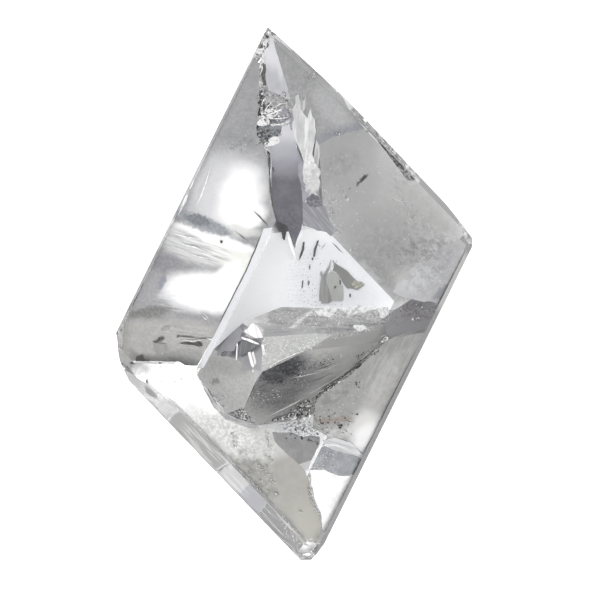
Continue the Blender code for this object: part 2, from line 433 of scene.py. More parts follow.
FACE_MARKS = {
    "wedge": (
        (1, 27.9, 8, 3.6, -52, 0.2, 0.9, "a8a8a8", "even"),
        (3.6, 16.3, 16, 1.6, -86, 0.3, 0.9, "a3a3a4", "even"),
        (-2.3, 23.9, 5.5, 4.2, 60, 0.3, 0.75, "9c9c9e", "grainy"),
        (-2.4, 23.4, 5, 3.6, 60, 0.4, 0.6, "606062", "ribbed"),
        (-0.9, 19.7, 4.6, 1.9, 80, 0.3, 0.85, "dcdce0", "ragged"),
        (-1, 16.2, 5.4, 4, 90, 0.6, 0.7, "8c8b91", "ribbed"),
        (-1.1, 12.2, 9, 4.3, 88, 0.25, 0.95, "747379", "even"),
        (-1, 11.4, 5, 2.6, 80, 0.6, 0.5, "5c5b62", "grainy"),
        (2.4, 12.3, 1.9, 1.1, 20, 0.4, 0.85, "77767c", "ragged"),
        (2.8, 9.8, 3, 1.6, -45, 0.5, 0.6, "98979c", "grainy"),
    ),
    "north_east": (
        (6, 25.1, 8, 3.6, -46, 0.5, 0.5, "b8b8b8", "even"),
        (14, 6, 12, 5, -20, 0.6, 0.3, "86868a", "mottled"),
        (9.9, 3.6, 9, 2.4, -40, 0.5, 0.35, "848486", "mottled"),
        (15.8, 2, 6, 3.2, 10, 0.4, 0.8, "f4f4f2", "even"),
        (4.8, 10.4, 6, 2, -60, 0.5, 0.5, "c8c8c8", "mottled"),
        (15, 12, 8, 5, -40, 0.6, 0.25, "c8c7c4", "mottled"),
        (9, 15.2, 1.9, 0.45, 48, 0.4, 0.9, "505050", "ragged"),
        (18, 6, 6, 3, 10, 0.6, 0.35, "7c7c7e", "mottled"),
        (6.4, 17.4, 5, 3, 20, 0.6, 0.2, "88888a", "mottled"),
        (10, 13.4, 26, 13, -46, 0.4, 0.13, "e6e4e4", "grainy"),
        (18, 8, 8, 5, -40, 0.5, 0.3, "9a9a9a", "mottled"),
        (17.4, 11.9, 13, 3.6, -47, 0.5, 0.45, "dededd", "even"),
    ),
    "south_east": (
        (14, -10.5, 24, 9, 63, 0.15, 0.5, "b4b2b0", "even"),
        (17.2, 1.5, 6.5, 4.2, 25, 0.4, 0.5, "c0c0be", "grainy"),
        (5, -16, 8, 3.4, 30, 0.4, 0.6, "8e8b88", "grainy"),
    ),
    "south_west": (
        (-6.2, -19.4, 7, 4.6, -25, 0.3, 0.25, "b2b2b0", "even"),
        (-10.6, -17.2, 3.2, 2.8, -45, 0.6, 0.4, "9a9a98", "grainy"),
    ),
    "rest": (
        (-4, 1, 14, 16, 4, 0.2, 0.03, "a0a4ac", "ribbed"),
        (5.6, 1.4, 12, 12, -46, 0.5, 0.25, "b4b8c0", "even"),
        (-3, 1, 20, 14, 4, 0.3, 0.1, "8c90a0", "dusty"),
        (0.6, -18, 4.8, 2, -6, 0.4, 0.7, "a4a4a5", "grainy"),
    ),
    "south_east_bevel": (
        # Painted shade: this mark darkens the whole lower-right bevel to the dark band that the bevel shows.
        (14.5, -12, 60, 12, 63, 0.1, 0.94, "363638", "even"),
        (20.8, 1.4, 8, 4, 63, 0.2, 1, "80807f", "even"),
        (6.2, -27.4, 9.4, 0.5, 61, 0.3, 0.9, "646466", "even"),
    ),
    "north_east_bevel": (
        (3, 29.4, 13, 3, -46, 0.1, 0.7, "8a8a8a", "even"),
        (11.8, 19.8, 13, 3.4, -46, 0.1, 0.9, "5a5a5c", "even"),
        (11.8, 19.8, 13, 3.4, -46, 0.1, 0.9, "2c2c2e", "grainy"),
        (11.8, 19.8, 13, 3.4, -46, 0.1, 0.8, "e0e0e0", "dusty"),
        (19.2, 11.9, 9.4, 3, -48, 0.1, 0.96, "5c5c5e", "even"),
    ),
    "south_west_bevel": (
        (-10.4, -23.2, 33, 0.24, -46.2, 0.3, 0.8, "5a5a5a", "even"),
        (-12.4, -19, 9.4, 9, -46.2, 0.06, 0.95, "8a8a89", "even"),
        (-18.9, -13, 2.8, 0.9, -42, 0.4, 0.9, "6a6a6a", "even"),
        (-7.6, -24.2, 4, 9, -46.2, 0.08, 0.8, "a2a2a3", "even"),
        (-5.2, -26.8, 3.4, 9, -46.2, 0.06, 0.85, "8b8b91", "even"),
        (-10, -21.6, 12, 9, -46.2, 0.2, 0.3, "e4e4e4", "ribbed"),
        (-2.4, -29.6, 6, 2, -46.2, 0.25, 0.5, "8c8b86", "ribbed"),
    ),
    "south": (
        (2, -10.5, 30, 20, 20, 0.1, 0.92, "cac9c8", "even"),
        (6, -9.6, 10, 4, 34, 0.4, 0.4, "b2b2b2", "mottled"),
        (-1.8, -12.1, 9.5, 7, 15, 0.5, 0.9, "747475", "even"),
        (-1.5, -9.8, 6.4, 2.6, 24, 0.5, 0.9, "56575c", "ragged"),
        (-1.8, -9.9, 6.6, 2.6, 24, 0.4, 0.8, "141519", "grainy"),
        (-2.6, -13.2, 9, 5, 20, 0.5, 0.5, "505052", "grainy"),
        (3.1, -9, 5.2, 2.4, 15, 0.5, 0.4, "58585c", "grainy"),
        (4, -12.1, 8, 2, 38, 0.5, 0.8, "c8c7c6", "even"),
        (0.5, -11.4, 14, 5, 6, 0.4, 0.4, "9c9c9e", "ribbed"),
        (-1, -13.5, 9, 5, 14, 0.4, 0.4, "d0d0d0", "dusty"),
    ),
    "skirt": (
        (0, -15.5, 20, 14, 20, 0.1, 0.85, "b8b7b6", "even"),
        (0, -15.5, 12, 6, 25, 0.2, 0.65, "505050", "grainy"),
        (0, -15.5, 12, 6, 25, 0.2, 0.9, "e8e8e8", "dusty"),
    ),
    "flank_skirt": (
        (5, -12, 20, 14, 35, 0.1, 0.85, "9a9998", "even"),
        (5, -12.2, 14, 5, 37, 0.2, 0.95, "303030", "grainy"),
        (5, -12, 14, 5, 37, 0.2, 0.8, "d8d8d8", "dusty"),
    ),
    "neck_skirt": (
        (11.5, -6.5, 10, 8, 50, 0.1, 0.85, "a5a4a3", "even"),
        (11.5, -6.5, 8, 3, 50, 0.2, 0.8, "484848", "grainy"),
    ),
    "head": (
        (-9, -11.5, 14, 14, 0, 0.1, 0.9, "d4d4d3", "even"),
        (-9, -11.8, 9, 8, 0, 0.4, 0.4, "a4a4a4", "grainy"),
        (-9, -11.8, 9, 8, 0, 0.4, 0.25, "ffffff", "dusty"),
        (-8, -9.8, 5, 2.4, -15, 0.6, 0.5, "a8a7a6", "even"),
        (-10.6, -11.7, 1.2, 0.7, 20, 0.5, 0.6, "707070", "ragged"),
        (-11.2, -13.6, 3.6, 0.7, -52, 0.4, 0.8, "606060", "grainy"),
    ),
    "chin": (
        (-7, -16.2, 8, 6, -20, 0.1, 0.9, "4c4c4c", "even"),
        (-7, -16.2, 8, 6, -20, 0.1, 0.9, "b4b4b4", "dusty"),
    ),
    "brow_top": (
        (-7, -7, 14, 14, 0, 0.1, 0.85, "b4b3b6", "even"),
        (-7.9, -6.4, 7, 3, 42, 0.3, 0.92, "929197", "ragged"),
        (-6.6, -7.2, 4.6, 2.2, 18, 0.3, 0.85, "6c6b72", "ragged"),
        (-10.2, -8.2, 3, 0.7, 20, 0.4, 0.85, "58585c", "ragged"),
        # Painted highlight: the white patch under the brow gleams.
        (-6, -5.2, 1.8, 1.1, -40, 0.3, 0.9, "f4f4f6", "ragged"),
    ),
    "top": (
        (-1, -7.2, 14, 10, 0, 0.1, 0.97, "828381", "even"),
        (-1, -7.2, 10, 5, 20, 0.3, 0.7, "e4e6e2", "dusty"),
        (-1, -7.2, 10, 5, 20, 0.3, 0.5, "bcbeb8", "grainy"),
        (0, -5.9, 6, 1, 8, 0.4, 0.7, "848388", "grainy"),
    ),
    "shoulder": (
        (7, -6, 16, 10, 10, 0.1, 0.85, "a09f9e", "even"),
        (7.5, -5, 9, 1.4, 12, 0.4, 0.8, "c8c8c8", "grainy"),
        (3, -6.4, 1.4, 0.8, 20, 0.4, 0.9, "f0f0f0", "ragged"),
    ),
    "upper_bevel": (
        (-1, -4.8, 14, 6, 0, 0.1, 0.6, "cacacc", "even"),
        (0, -5, 9, 1.6, 0, 0.4, 0.8, "8f8e96", "ribbed"),
        # Painted highlight: the white patch under the brow gleams.
        (-5, -5, 2, 1.6, -40, 0.3, 0.9, "ffffff", "ragged"),
    ),
    "north": (
        (4, -3.6, 24, 8, 0, 0.1, 0.8, "dadad8", "even"),
        (4, -3.6, 24, 8, 0, 0.1, 0.5, "8c8c90", "mottled"),
        (4, -3.4, 16, 3.4, -4, 0.3, 0.6, "84838a", "ribbed"),
        (4, -3, 16, 3, 4, 0.3, 0.9, "ffffff", "dusty"),
        (8, -2.6, 10, 2, -6, 0.4, 0.8, "ffffff", "grainy"),
        (5.5, -4.9, 9, 1, 6, 0.4, 0.5, "8e8d92", "mottled"),
    ),
    "root_left": (
        (17, -1, 14, 12, 30, 0.1, 0.92, "9c9a9f", "even"),
        (16, -1.6, 5, 2.4, 40, 0.4, 0.6, "6a686e", "grainy"),
        (18.5, 0.5, 5, 2, 30, 0.5, 0.5, "a8a6aa", "ragged"),
    ),
    "root_right": (
        (17, -3, 14, 12, 10, 0.1, 0.92, "a09ea2", "even"),
        (17.5, -2.6, 5, 1.4, 20, 0.4, 0.6, "6e6c72", "grainy"),
    ),
}
# Roughness of each matt or ground face, under the painted shade tints of StoneFinishAndShade. Others are
# polished.
FACE_ROUGHNESS = {"rest": 0.12, "wedge": 0.1, "north_east": 0.15, "south_west": 0.4, "south_east": 0.4}
# A face rougher than this is called ground.
GROUND = 0.3


def face_materials(names):
    """The polished material first, and then one for each named face."""
    finish_and_shade = bpy.context.scene.stone_finish
    materials = [polished_quartz("polished_rock_crystal")]
    for name in names:
        roughness = FACE_ROUGHNESS.get(name, 0.0)
        # Each face's tint is painted shade: it darkens what the clear face lets through.
        tint = tuple(getattr(finish_and_shade, name + "_tint", (1.0, 1.0, 1.0)))
        surface = "natural" if name in CRYSTAL_FACES else "ground" if roughness > GROUND else "polished"
        title = f"{surface}_rock_crystal_{name}"
        materials.append(marked_quartz(title, roughness, tint, FACE_MARKS.get(name, ())))
    return materials


class QUARTZ_OT_host(bpy.types.Operator):
    """Makes the clear host crystal from its CAD solid"""

    bl_idname = "quartz.host"
    bl_label = "Host crystal"

    def execute(self, context):
        bm = merged_copy("host_crystal")
        names = [None, *HOST_FACES, *CRYSTAL_FACES]
        for face in bm.faces:
            face.material_index = names.index(named_face(face))
        piece = new_piece("clear_host", bm, face_materials(names[1:]))
        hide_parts("host_crystal")
        return {"FINISHED"}


class QUARTZ_OT_inner(bpy.types.Operator):
    """Makes the inner crystal from its CAD solid"""

    bl_idname = "quartz.inner"
    bl_label = "Inner crystal"

    def execute(self, context):
        bm = merged_copy("inner_crystal")
        piece = new_piece("included_crystal", bm, [grown_quartz("natural_rock_crystal")])
        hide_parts("inner_crystal")
        return {"FINISHED"}


# ---- Films: thin sheets with an outline seen from above ----

BACK_FACES = ("rest", "wedge", "north_east", "north_west", "south_west", "south_east")
LEVELS = ("west", "keel", "crown", "east")
# Clear crystal left under the flaws that reach the back, and a height over the whole stone, in millimetres.
BACK_GAP = 0.1
SKY_HEIGHT = 100.0
# The seed of the noise in ragged edges. It may not be 0, because 0 takes the seed from the clock.
EDGE_SEED = 1
# Two sizes of nick in a ragged edge: waves in a millimetre, share of the reach, and a shift of the seed.
NICKS = ((0.9, 1.0, 0.0), (3.1, 0.6, 7.0))
# Grains: how far apart the seeds of two settings are, the smallest share of the full size, how flat they are,
# and how far they lean, in radians, on a flat crack and elsewhere.
SEED_STEP = 1000
SMALLEST = 0.35
FLATNESS = 0.4
LEAN_ON_LEVEL = 0.1
LEAN_ELSEWHERE = 0.6
# How high a thread and a grain lie over what carries them, and how ragged a thread is, in millimetres.
THREAD_LIFT = 0.5
THREAD_NICKS = 0.03
GRAIN_LIFT = 0.55
BEVEL_GRAIN_LIFT = -0.2
# How much darker the second tone of a thread or a grain is, and the roughness of flat cracks and of skins.
SECOND_TONE = 0.76
CRACK_ROUGHNESS = 0.3
SKIN_ROUGHNESS = 0.5


def face_planes():
    """A point and the outward normal of each named face of the stone and of its hollow."""
    bm = merged_copy("host_crystal")
    planes = {named_face(face): (face.calc_center_median() / MM, face.normal.copy()) for face in bm.faces}
    bm.free()
    return planes


PLANES = face_planes()


def roof_tree():
    """A search tree of the host crystal, for the height of its upper side."""
    bm = merged_copy("host_crystal")
    tree = BVHTree.FromBMesh(bm)
    bm.free()
    return tree


ROOF = roof_tree()


def rise(y):
    """How much higher a flat crack is at a place than at the middle of the stone.

    Flat cracks lean by a few degrees, so that they mirror the bright sky and not the lens over the stone.
    """
    return y * math.tan(bpy.context.scene.flaw_sizes.lean)


def height_on(name, x, y):
    """The height of a named face's plane at a place."""
    point, normal = PLANES[name]
    return point.z - (normal.x * (x - point.x) + normal.y * (y - point.y)) / normal.z


def ground(on, x, y):
    """The height in millimetres of what a flaw lies on.

    It is the back of the stone, a wall of its hollow, or the level of the flat cracks, which lean a little.
    """
    if on in LEVELS:
        return getattr(bpy.context.scene.flaw_sizes, on + "_level") / MM + rise(y)
    if on == "back":
        return max(height_on(name, x, y) for name in BACK_FACES)
    return height_on(on, x, y)


def within(x, y, height):
    """The height, brought inside the crystal where it is below its back or above its top."""
    above = ROOF.ray_cast(Vector((x, y, SKY_HEIGHT)) * MM, Vector((0, 0, -1)))[0]
    height = max(height, ground("back", x, y) + BACK_GAP)
    return min(height, (above.z - bpy.context.scene.flaw_sizes.cover) / MM) if above else height


def jitter(x, y, seed, reach):
    """A small shift from noise, the same on each run."""
    noise.seed_set(EDGE_SEED)
    shift = Vector((0, 0, 0))
    for waves, share, other in NICKS:
        shift += share * noise.noise_vector(Vector((x * waves, y * waves, seed + other)))
    return reach * shift.x, reach * shift.y


def add_film(group, outline, on, lift, ragged, seed):
    """Adds to a group a thin closed sheet with this outline, its edge made ragged.

    It lies that much above what on names, which is "level" for a flat crack just over the back of the stone.
    """
    sizes = bpy.context.scene.flaw_sizes
    bm = bmesh.new()
    bm.faces.new([bm.verts.new((x, y, 0)) for x, y in outline])
    for edge in list(bm.edges):
        cuts = int(edge.calc_length() * MM / sizes.edge_step) if ragged else 0
        if cuts:
            bmesh.ops.subdivide_edges(bm, edges=[edge], cuts=cuts)
    for vert in bm.verts:
        x, y, _ = vert.co
        dx, dy = jitter(x, y, seed, ragged)
        vert.co = (x + dx, y + dy, 0)
    bmesh.ops.triangulate(bm, faces=bm.faces)
    if on == "level":
        level = max(ground("back", *vert.co.xy) - rise(vert.co.y) for vert in bm.verts) + lift
    for vert in bm.verts:
        height = level + rise(vert.co.y) if on == "level" else ground(on, *vert.co.xy) + lift
        vert.co.z = within(*vert.co.xy, height)
    upper = bmesh.ops.extrude_face_region(bm, geom=list(bm.faces), use_keep_orig=True)
    verts = [item for item in upper["geom"] if isinstance(item, bmesh.types.BMVert)]
    bmesh.ops.translate(bm, verts=verts, vec=(0, 0, sizes.thickness / MM))
    bmesh.ops.recalc_face_normals(bm, faces=bm.faces)
    bmesh.ops.scale(bm, verts=bm.verts, vec=(MM, MM, MM))
    sheet = new_mesh("sheet", bm)
    group.from_mesh(sheet)
    bpy.data.meshes.remove(sheet)


def strip(points, width):
    """The outline of a thin strip along some points, pointed at both ends."""
    left, right = [], []
    for before, here, after in zip(points, points[1:], points[2:]):
        along = (Vector(after) - Vector(before)).normalized() * width / 2
        left.append((here[0] - along.y, here[1] + along.x))
        right.append((here[0] + along.y, here[1] - along.x))
    return [points[0], *right, points[-1], *reversed(left)]


def inside(x, y, outline):
    """Whether a place is inside an outline."""
    odd = False
    for (x0, y0), (x1, y1) in zip(outline, outline[1:] + outline[:1]):
        if (y0 > y) != (y1 > y) and x < x0 + (y - y0) / (y1 - y0) * (x1 - x0):
            odd = not odd
    return odd


def scatter(group, outline, on, lift, count, size, seed):
    """Adds small angular grains, at random inside an outline. size is the largest half-width."""
    sizes = bpy.context.scene.flaw_sizes
    dice = random.Random(seed + SEED_STEP * sizes.seed)
    xs = [x for x, _ in outline]
    ys = [y for _, y in outline]
    most = LEAN_ON_LEVEL if on in LEVELS else LEAN_ELSEWHERE
    while count:
        x = dice.uniform(min(xs), max(xs))
        y = dice.uniform(min(ys), max(ys))
        if not inside(x, y, outline):
            continue
        count -= 1
        radius = sizes.grain_scale * size * dice.uniform(SMALLEST, 1.0)
        lean = dice.uniform(-most, most)
        turn = Matrix.Rotation(dice.uniform(0, math.tau), 4, "Z") @ Matrix.Rotation(lean, 4, "X")
        shape = Matrix.Diagonal((1.0, dice.uniform(SMALLEST, 1.0), FLATNESS, 1.0))
        height = within(x, y, ground(on, x, y) + lift + FLATNESS * radius)
        middle = Matrix.Translation(Vector((x, y, height)) * MM)
        bmesh.ops.create_icosphere(group, subdivisions=1, radius=radius * MM, matrix=middle @ turn @ shape)


def crack_quartz(name, tone, second, kind, turn=0.0, cover=1.0, shine=0.0, marks=()):
    """A healed crack, a skin of fine inclusions, or painted light: the sheen, light, gleams, shade and shadow
    pieces.

    tone and second are its colours, and kind is how they mix: ribbed, crumbly or cloudy. cover is how much
    light it stops. shine is 1 where it is a flat crack, which mirrors the sky as silver does.
    """
    material, tree, shader = new_material(("healed_crack_" if shine else "inclusion_skin_") + name)
    coords = millimetres(tree)
    factor = ribs(tree, coords, turn) if kind == "ribbed" else texture(tree, coords, kind)
    colour = mixed(tree, factor, (*tone, 1), (*second, 1))
    for mask, tint in mark_masks(tree, coords, marks) if marks else ():
        colour = mixed(tree, mask, colour, tint)
    roughness = CRACK_ROUGHNESS if shine else SKIN_ROUGHNESS
    fill(tree, shader, Base_Color=colour, Roughness=roughness, Metallic=shine)
    fill(tree, shader, IOR=bpy.context.scene.stone_finish.refraction, Transmission_Weight=1.0 - cover)
    return material


# ---- Tables of films. For each piece: its tone, second tone, texture, the texture's turn, cover and shine;
# what it lies on, how far above it and how ragged its edge is; and its outlines ----

# The long cleft under the point, from its tip down to the lobe.
CROWN = {
    "crown_sheen": (("a6a6aa", "a0a0a4", "cloudy", 0, 1, 1), ("crown", 0.15, 0.05), [
        [(-3, 33.7), (-1.9, 30.3), (-1, 27.3), (-0.6, 25.4), (-3.4, 26.6), (-3.7, 28), (-3.95, 30.3),
         (-3.9, 31.8), (-3.5, 32.4)],
    ]),
    "crown_side": (("808081", "8a8a8b", "cloudy", 0, 1, 1), ("crown", 0, 0.1), [
        [(-2.9, 33.5), (-1.6, 32.6), (2, 29.4), (5.4, 26.2), (8, 23.6), (9.6, 21.8), (7.6, 21.2), (5.2, 20.6),
         (3, 19.4), (1.6, 19.6), (0, 22), (-0.6, 25.4), (-1, 27.4), (-2, 30.2)],
    ]),
    "crown_wall": (("484848", "6a6a68", "crumbly", 0, 1, 0), ("crown", 0.3, 0.12), [
        [(-4.15, 33.3), (-3.9, 33.5), (-4, 32.9), (-4.1, 32.1), (-4.55, 32.2), (-4.4, 32.8)],
        [(-5, 30.4), (-4.5, 31), (-4.2, 31.3), (-4.6, 30.8), (-4.8, 30.4)],
        [(-4.2, 30.1), (-3.8, 30), (-3.75, 29.3), (-3.85, 28.6), (-3.7, 27.2), (-4.1, 27.1), (-4.4, 28.6)],
        [(-4.7, 26.4), (-4.4, 26.6), (-4, 26.4), (-3.9, 26), (-4.3, 26.2)],
        [(-4.3, 26), (-3.7, 25.7), (-4, 25.2), (-3.7, 24.2), (-3.9, 23.8), (-4.5, 24.8), (-4.6, 25.4)],
        [(-3.8, 33.7), (-3.4, 33.8), (-3.25, 33.4), (-3.5, 33.3)],
        [(-3.8, 32.2), (-3.3, 32.7), (-3.5, 32.2)],
    ]),
    "crown_light": (("cacaca", "a6a6a6", "crumbly", 0, 1, 1), ("crown", 0.4, 0.2), [
        [(-4.2, 33.4), (-3.6, 33.2), (-3.2, 33.7), (-3.2, 33), (-3.8, 32.2), (-4.1, 32.1)],
        [(-5, 31.8), (-4, 32.1), (-4.2, 31.4), (-4.8, 31.3)],
        [(-4.2, 31.2), (-3.9, 31.6), (-3.9, 30.2), (-4.3, 30.2), (-4.8, 29.2), (-4.3, 29.6)],
        [(-4.5, 26.3), (-4.1, 26.3), (-4.2, 26), (-4.5, 26.1)],
        [(-4.3, 23.9), (-3.7, 24.1), (-3.1, 24.2), (-3, 23.3), (-2, 23.7), (-3, 22.9), (-3.6, 22.4),
         (-4.1, 22.2), (-4.5, 22.8), (-4.3, 23.3)],
        [(-3.1, 22.25), (-1.9, 22.3), (-0.6, 22.85), (-0.4, 22.6), (-1.9, 22), (-3.1, 22)],
        [(-4, 19.6), (-3.6, 20.2), (-2.9, 20.5), (-2, 20.6), (-1.9, 19.8), (-2.8, 19.3), (-3.6, 19.3)],
    ]),
    "crown_crumb": (("7e7e7f", "a4a4a4", "crumbly", 0, 1, 1), ("crown", 0.1, 0.15), [
        [(-4.6, 26), (-3, 26.6), (-0.8, 26.6), (-0.4, 25), (-0.1, 24.2), (-1.7, 24), (-3, 24.4), (-4.3, 23),
         (-4.9, 22.4), (-4.8, 24)],
    ]),
    "crown_shadow": (("54565a", "7c7e80", "crumbly", 0, 1, 1), ("crown", 0.2, 0.15), [
        [(-5, 22.2), (-4.4, 21.9), (-3.3, 22.2), (-1.7, 21.9), (-1.7, 21.2), (-2, 20.5), (-2.9, 20.3),
         (-3.6, 19.8), (-4, 19.4), (-4.9, 19.9), (-5, 21.2)],
        [(-3, 22.9), (-2.3, 23.4), (-1.9, 22.9), (-2, 22.4), (-3, 22.4)],
    ]),
    "crown_haze": (("7c7a82", "8c8a90", "cloudy", 0, 1, 1), ("crown", 0.3, 0.12), [
        [(-1.8, 24.1), (-0.9, 24.2), (-0.2, 23.4), (-0.1, 22.6), (-0.2, 21.5), (-0.45, 21.4), (-0.7, 22.4),
         (-1.9, 22), (-2, 22.9)],
    ]),
}
# The dark lobe and the pale flame at the foot of the cleft.
HEART = {
    "lobe": (("5b5a60", "66656b", "cloudy", 0, 1, 1), ("crown", 0.25, 0.08), [
        [(-3.6, 20.1), (-2.1, 20.5), (-1.6, 21.4), (-1.6, 21.9), (-0.6, 22.1), (-0.1, 21.2), (0.1, 19.9),
         (0.4, 18.4), (0.5, 15.6), (0.9, 14.3), (1, 13), (1.1, 11.4), (1.1, 9.4), (0.9, 8.4), (0.4, 7.4),
         (0.1, 6.4), (0, 5.9), (-0.2, 6.4), (-0.6, 7.6), (-1, 9), (-2.1, 9.4), (-2.8, 11.3), (-2.8, 12.6),
         (-3.2, 13.4), (-3.1, 18.5), (-3.3, 19.2)],
    ]),
    "lobe_seam": (("4c4c4a", "646462", "crumbly", 0, 1, 0), ("crown", 0.35, 0.06), [
        [(-3.6, 18.8), (-3.15, 18.4), (-3.1, 16), (-3.1, 13.4), (-2.8, 12.6), (-2.7, 11.2), (-3, 11.6),
         (-3.05, 12.8), (-3.3, 13.5), (-3.4, 16.2)],
        [(-2.95, 16.6), (-2.7, 16.6), (-2.6, 16.1), (-2.75, 15.8)],
    ]),
    "lobe_side": (("8e8d94", "7a7980", "cloudy", 0, 1, 1), ("crown", 0.2, 0.1), [
        [(0.3, 19.4), (0.9, 18.2), (1.2, 17.2), (1.1, 16), (1.2, 14.2), (0.8, 13.6), (0.4, 15.2),
         (0.2, 17.2)],
        [(1, 14.6), (1.5, 14.4), (1.5, 13.4), (2, 13), (1.4, 12.2), (1.1, 11), (1, 12.6)],
    ]),
    "flame": (("b6b6b6", "a4a4a4", "cloudy", 0, 1, 1), ("crown", 0.35, 0.1), [
        [(-0.3, 24.2), (0.1, 25), (0.3, 24.2), (0.6, 24.9), (0.8, 24.2), (1.2, 23.6), (1.6, 23.1),
         (1.7, 22.9), (1.9, 23.6), (2.1, 24.4), (2.3, 23.4), (2.6, 22.8), (2.8, 21.2), (2.6, 19.8),
         (2.4, 18.4), (2.6, 17.2), (3, 16.6), (3.5, 16), (3.2, 15.2), (3.4, 14.6), (3, 13.6), (2.6, 13.4),
         (2.2, 13.2), (2, 13.8), (1.5, 13.4), (1.5, 14.4), (1.2, 15.2), (1.2, 16.2), (1.3, 17.4), (1, 18.4),
         (0.4, 19.8), (0, 20.2), (-0.1, 21.2), (-0.4, 22), (-0.1, 22.8), (-0.2, 23.4)],
    ]),
    "flame_tips": (("acacac", "929292", "ribbed", 90, 1, 1), ("crown", 0.28, 0.1), [
        [(0, 24), (0.1, 25.8), (0.5, 26.1), (0.7, 25.2), (0.9, 26.2), (1.2, 25.2), (1.5, 25.8), (1.6, 24.8),
         (1.3, 24), (0.9, 23.6)],
        [(2.4, 18.6), (2.9, 20.2), (3.3, 19.4), (3.3, 18), (3.1, 16.6), (2.6, 16.6)],
        [(1.4, 14.2), (3.4, 14.6), (3.2, 13.6), (2.6, 12.9), (1.6, 13.2)],
    ]),
    "heart_lump": (("5c5b60", "78787c", "crumbly", 0, 1, 1), ("crown", 0.3, 0.15), [
        [(1.6, 12.4), (2.2, 13.1), (2.9, 12.9), (3.4, 12.2), (3.6, 11.5), (2.6, 11.3), (1.9, 11.5)],
    ]),
    "heart_haze": (("7a7a7e", "8c8c90", "ribbed", -50, 1, 1), ("crown", 0.2, 0.2), [
        [(1, 12), (2.2, 11.6), (3.8, 11.6), (4.6, 9.9), (5.4, 8.2), (4.8, 7.5), (4.1, 8.1), (3.2, 8.3),
         (1.1, 8.8)],
    ]),
    "flame_slivers": (("505054", "68686c", "crumbly", 0, 1, 0), ("crown", 0.45, 0.04), [
        [(0.15, 19.9), (0.5, 19.2), (0.95, 18.2), (1.25, 17), (0.85, 17.9), (0.45, 18.8)],
        [(2.85, 20.2), (2.65, 19), (2.5, 17.7), (2.35, 18.3), (2.6, 19.6)],
    ]),
    "heart_slivers": (("57575b", "6a6a6e", "crumbly", 0, 1, 0), ("back", 0.45, 0.04), [
        [(-2, 9.2), (-1.3, 9.2), (-1.15, 8.2), (-1.3, 7.2), (-1.6, 7.4)],
        [(1.35, 7), (1.1, 7), (0.95, 6), (0.65, 5.1), (0.6, 4.5), (1, 5.2), (1.3, 6)],
        [(3.3, 7.2), (3.1, 6.5), (2.9, 5.8), (2.75, 5), (2.5, 5), (2.6, 6), (2.9, 6.7), (3.05, 7.2)],
        [(2.3, 4.9), (2.55, 4.9), (2.5, 4.5), (2.3, 4.6)],
        [(2, 3.9), (2.15, 3.7), (2.1, 3.2), (1.95, 3.4)],
        [(1, 1.8), (1.2, 1.8), (1.1, 0.9), (0.9, 0.6)],
        [(1.85, 1.9), (2.05, 1.6), (1.9, 1), (1.75, 1.3)],
        [(7.45, 0.1), (7.65, -0.1), (7.55, -0.6), (7.4, -0.3)],
        [(6.05, 2), (6.3, 1.8), (6.3, 1.2), (6.1, 1.3)],
        [(5.4, 1.1), (5.7, 1), (5.5, 0.7), (5.3, 0.65)],
    ]),
    "heart_gleams": (("e8e8ea", "d8d8dc", "cloudy", 0, 1, 1), ("level", 0.5, 0.03), [
        [(-0.95, 8.6), (-0.6, 7.6), (-0.3, 6.4), (0.05, 5.2), (0.15, 4.6), (-0.15, 5.3), (-0.5, 5.9),
         (-0.75, 6.9)],
        [(0.95, 8.4), (1.15, 8.6), (0.8, 7.6), (0.45, 7), (0.5, 7.4)],
    ]),
}
# Flaws on the right, and the small islands over the resting facet.
ISLANDS = {
    "east_corner": (("949495", "9c9c9d", "cloudy", 0, 1, 1), ("east", 0, 0.2), [
        [(12.9, 0.2), (13.9, -0.5), (16, -0.9), (18.9, -1.3), (20.5, 1.2), (21.8, 4.2), (22.3, 6.4),
         (21.5, 7.1), (20.4, 6.4), (18.8, 5.9), (17.6, 4.4), (15.8, 3.7), (14.8, 2.2), (13.6, 1.6)],
    ]),
    "pitted_edge": (("5c5c5c", "a0a0a0", "crumbly", 0, 1, 0), ("crown", 4, 0.06), [
        [(8, 23.5), (9.2, 22.2), (11.8, 19.6), (14.1, 17.1), (16, 14.9), (15.4, 14.7), (14.6, 14.9),
         (13.2, 16.8), (11.7, 18.9), (10, 20.9), (8.6, 22.6)],
    ]),
    "island_pale": (("dfe1de", "d6d8d4", "cloudy", 0, 0.8, 0), ("back", 0.15, 0.05), [
        [(4.4, 2.6), (5, 3), (5.9, 2.6), (6.2, 1.4), (6.6, 0.8), (6.6, -1), (5, -1), (4.6, 0.6)],
    ]),
    "island_right": (("969694", "9f9f9d", "cloudy", 0, 1, 0), ("back", 0.3, 0.06), [
        [(5.2, 4.7), (5.4, 4.2), (6, 3.8), (7.2, 3.1), (7.9, 2.2), (8.5, 1.7), (9.1, 1.6), (9.5, 1.2),
         (8.9, 0.75), (8.4, 0.5), (7.7, 0.7), (7.1, 0.7), (6.6, 1.4), (6, 2.5), (5.6, 2.9), (5.1, 3.1),
         (5.3, 3.6)],
    ]),
    "island_left": (("b4b4b4", "a3a3a2", "ribbed", 90, 1, 0), ("back", 0.3, 0.06), [
        [(5, 4.9), (4.5, 3.5), (3.9, 2.6), (3.6, 3.1), (3.4, 2.7), (3.6, 2.2), (3.4, 0.8), (3.3, -0.5),
         (3.6, -1.2), (4.6, -1.35), (5.1, -1), (4.7, 0.4), (4.3, 1.9), (4.5, 2.8), (4.8, 3.4)],
    ]),
    "island_bronze": (("a9a99a", "d8d8ce", "crumbly", 0, 1, 0), ("back", 0.36, 0.06), [
        [(7.7, 1.4), (8, 1.9), (8.6, 1.65), (9.1, 1.55), (9.4, 1.2), (8.9, 0.85), (8.4, 0.6), (8, 0.8)],
    ]),
}
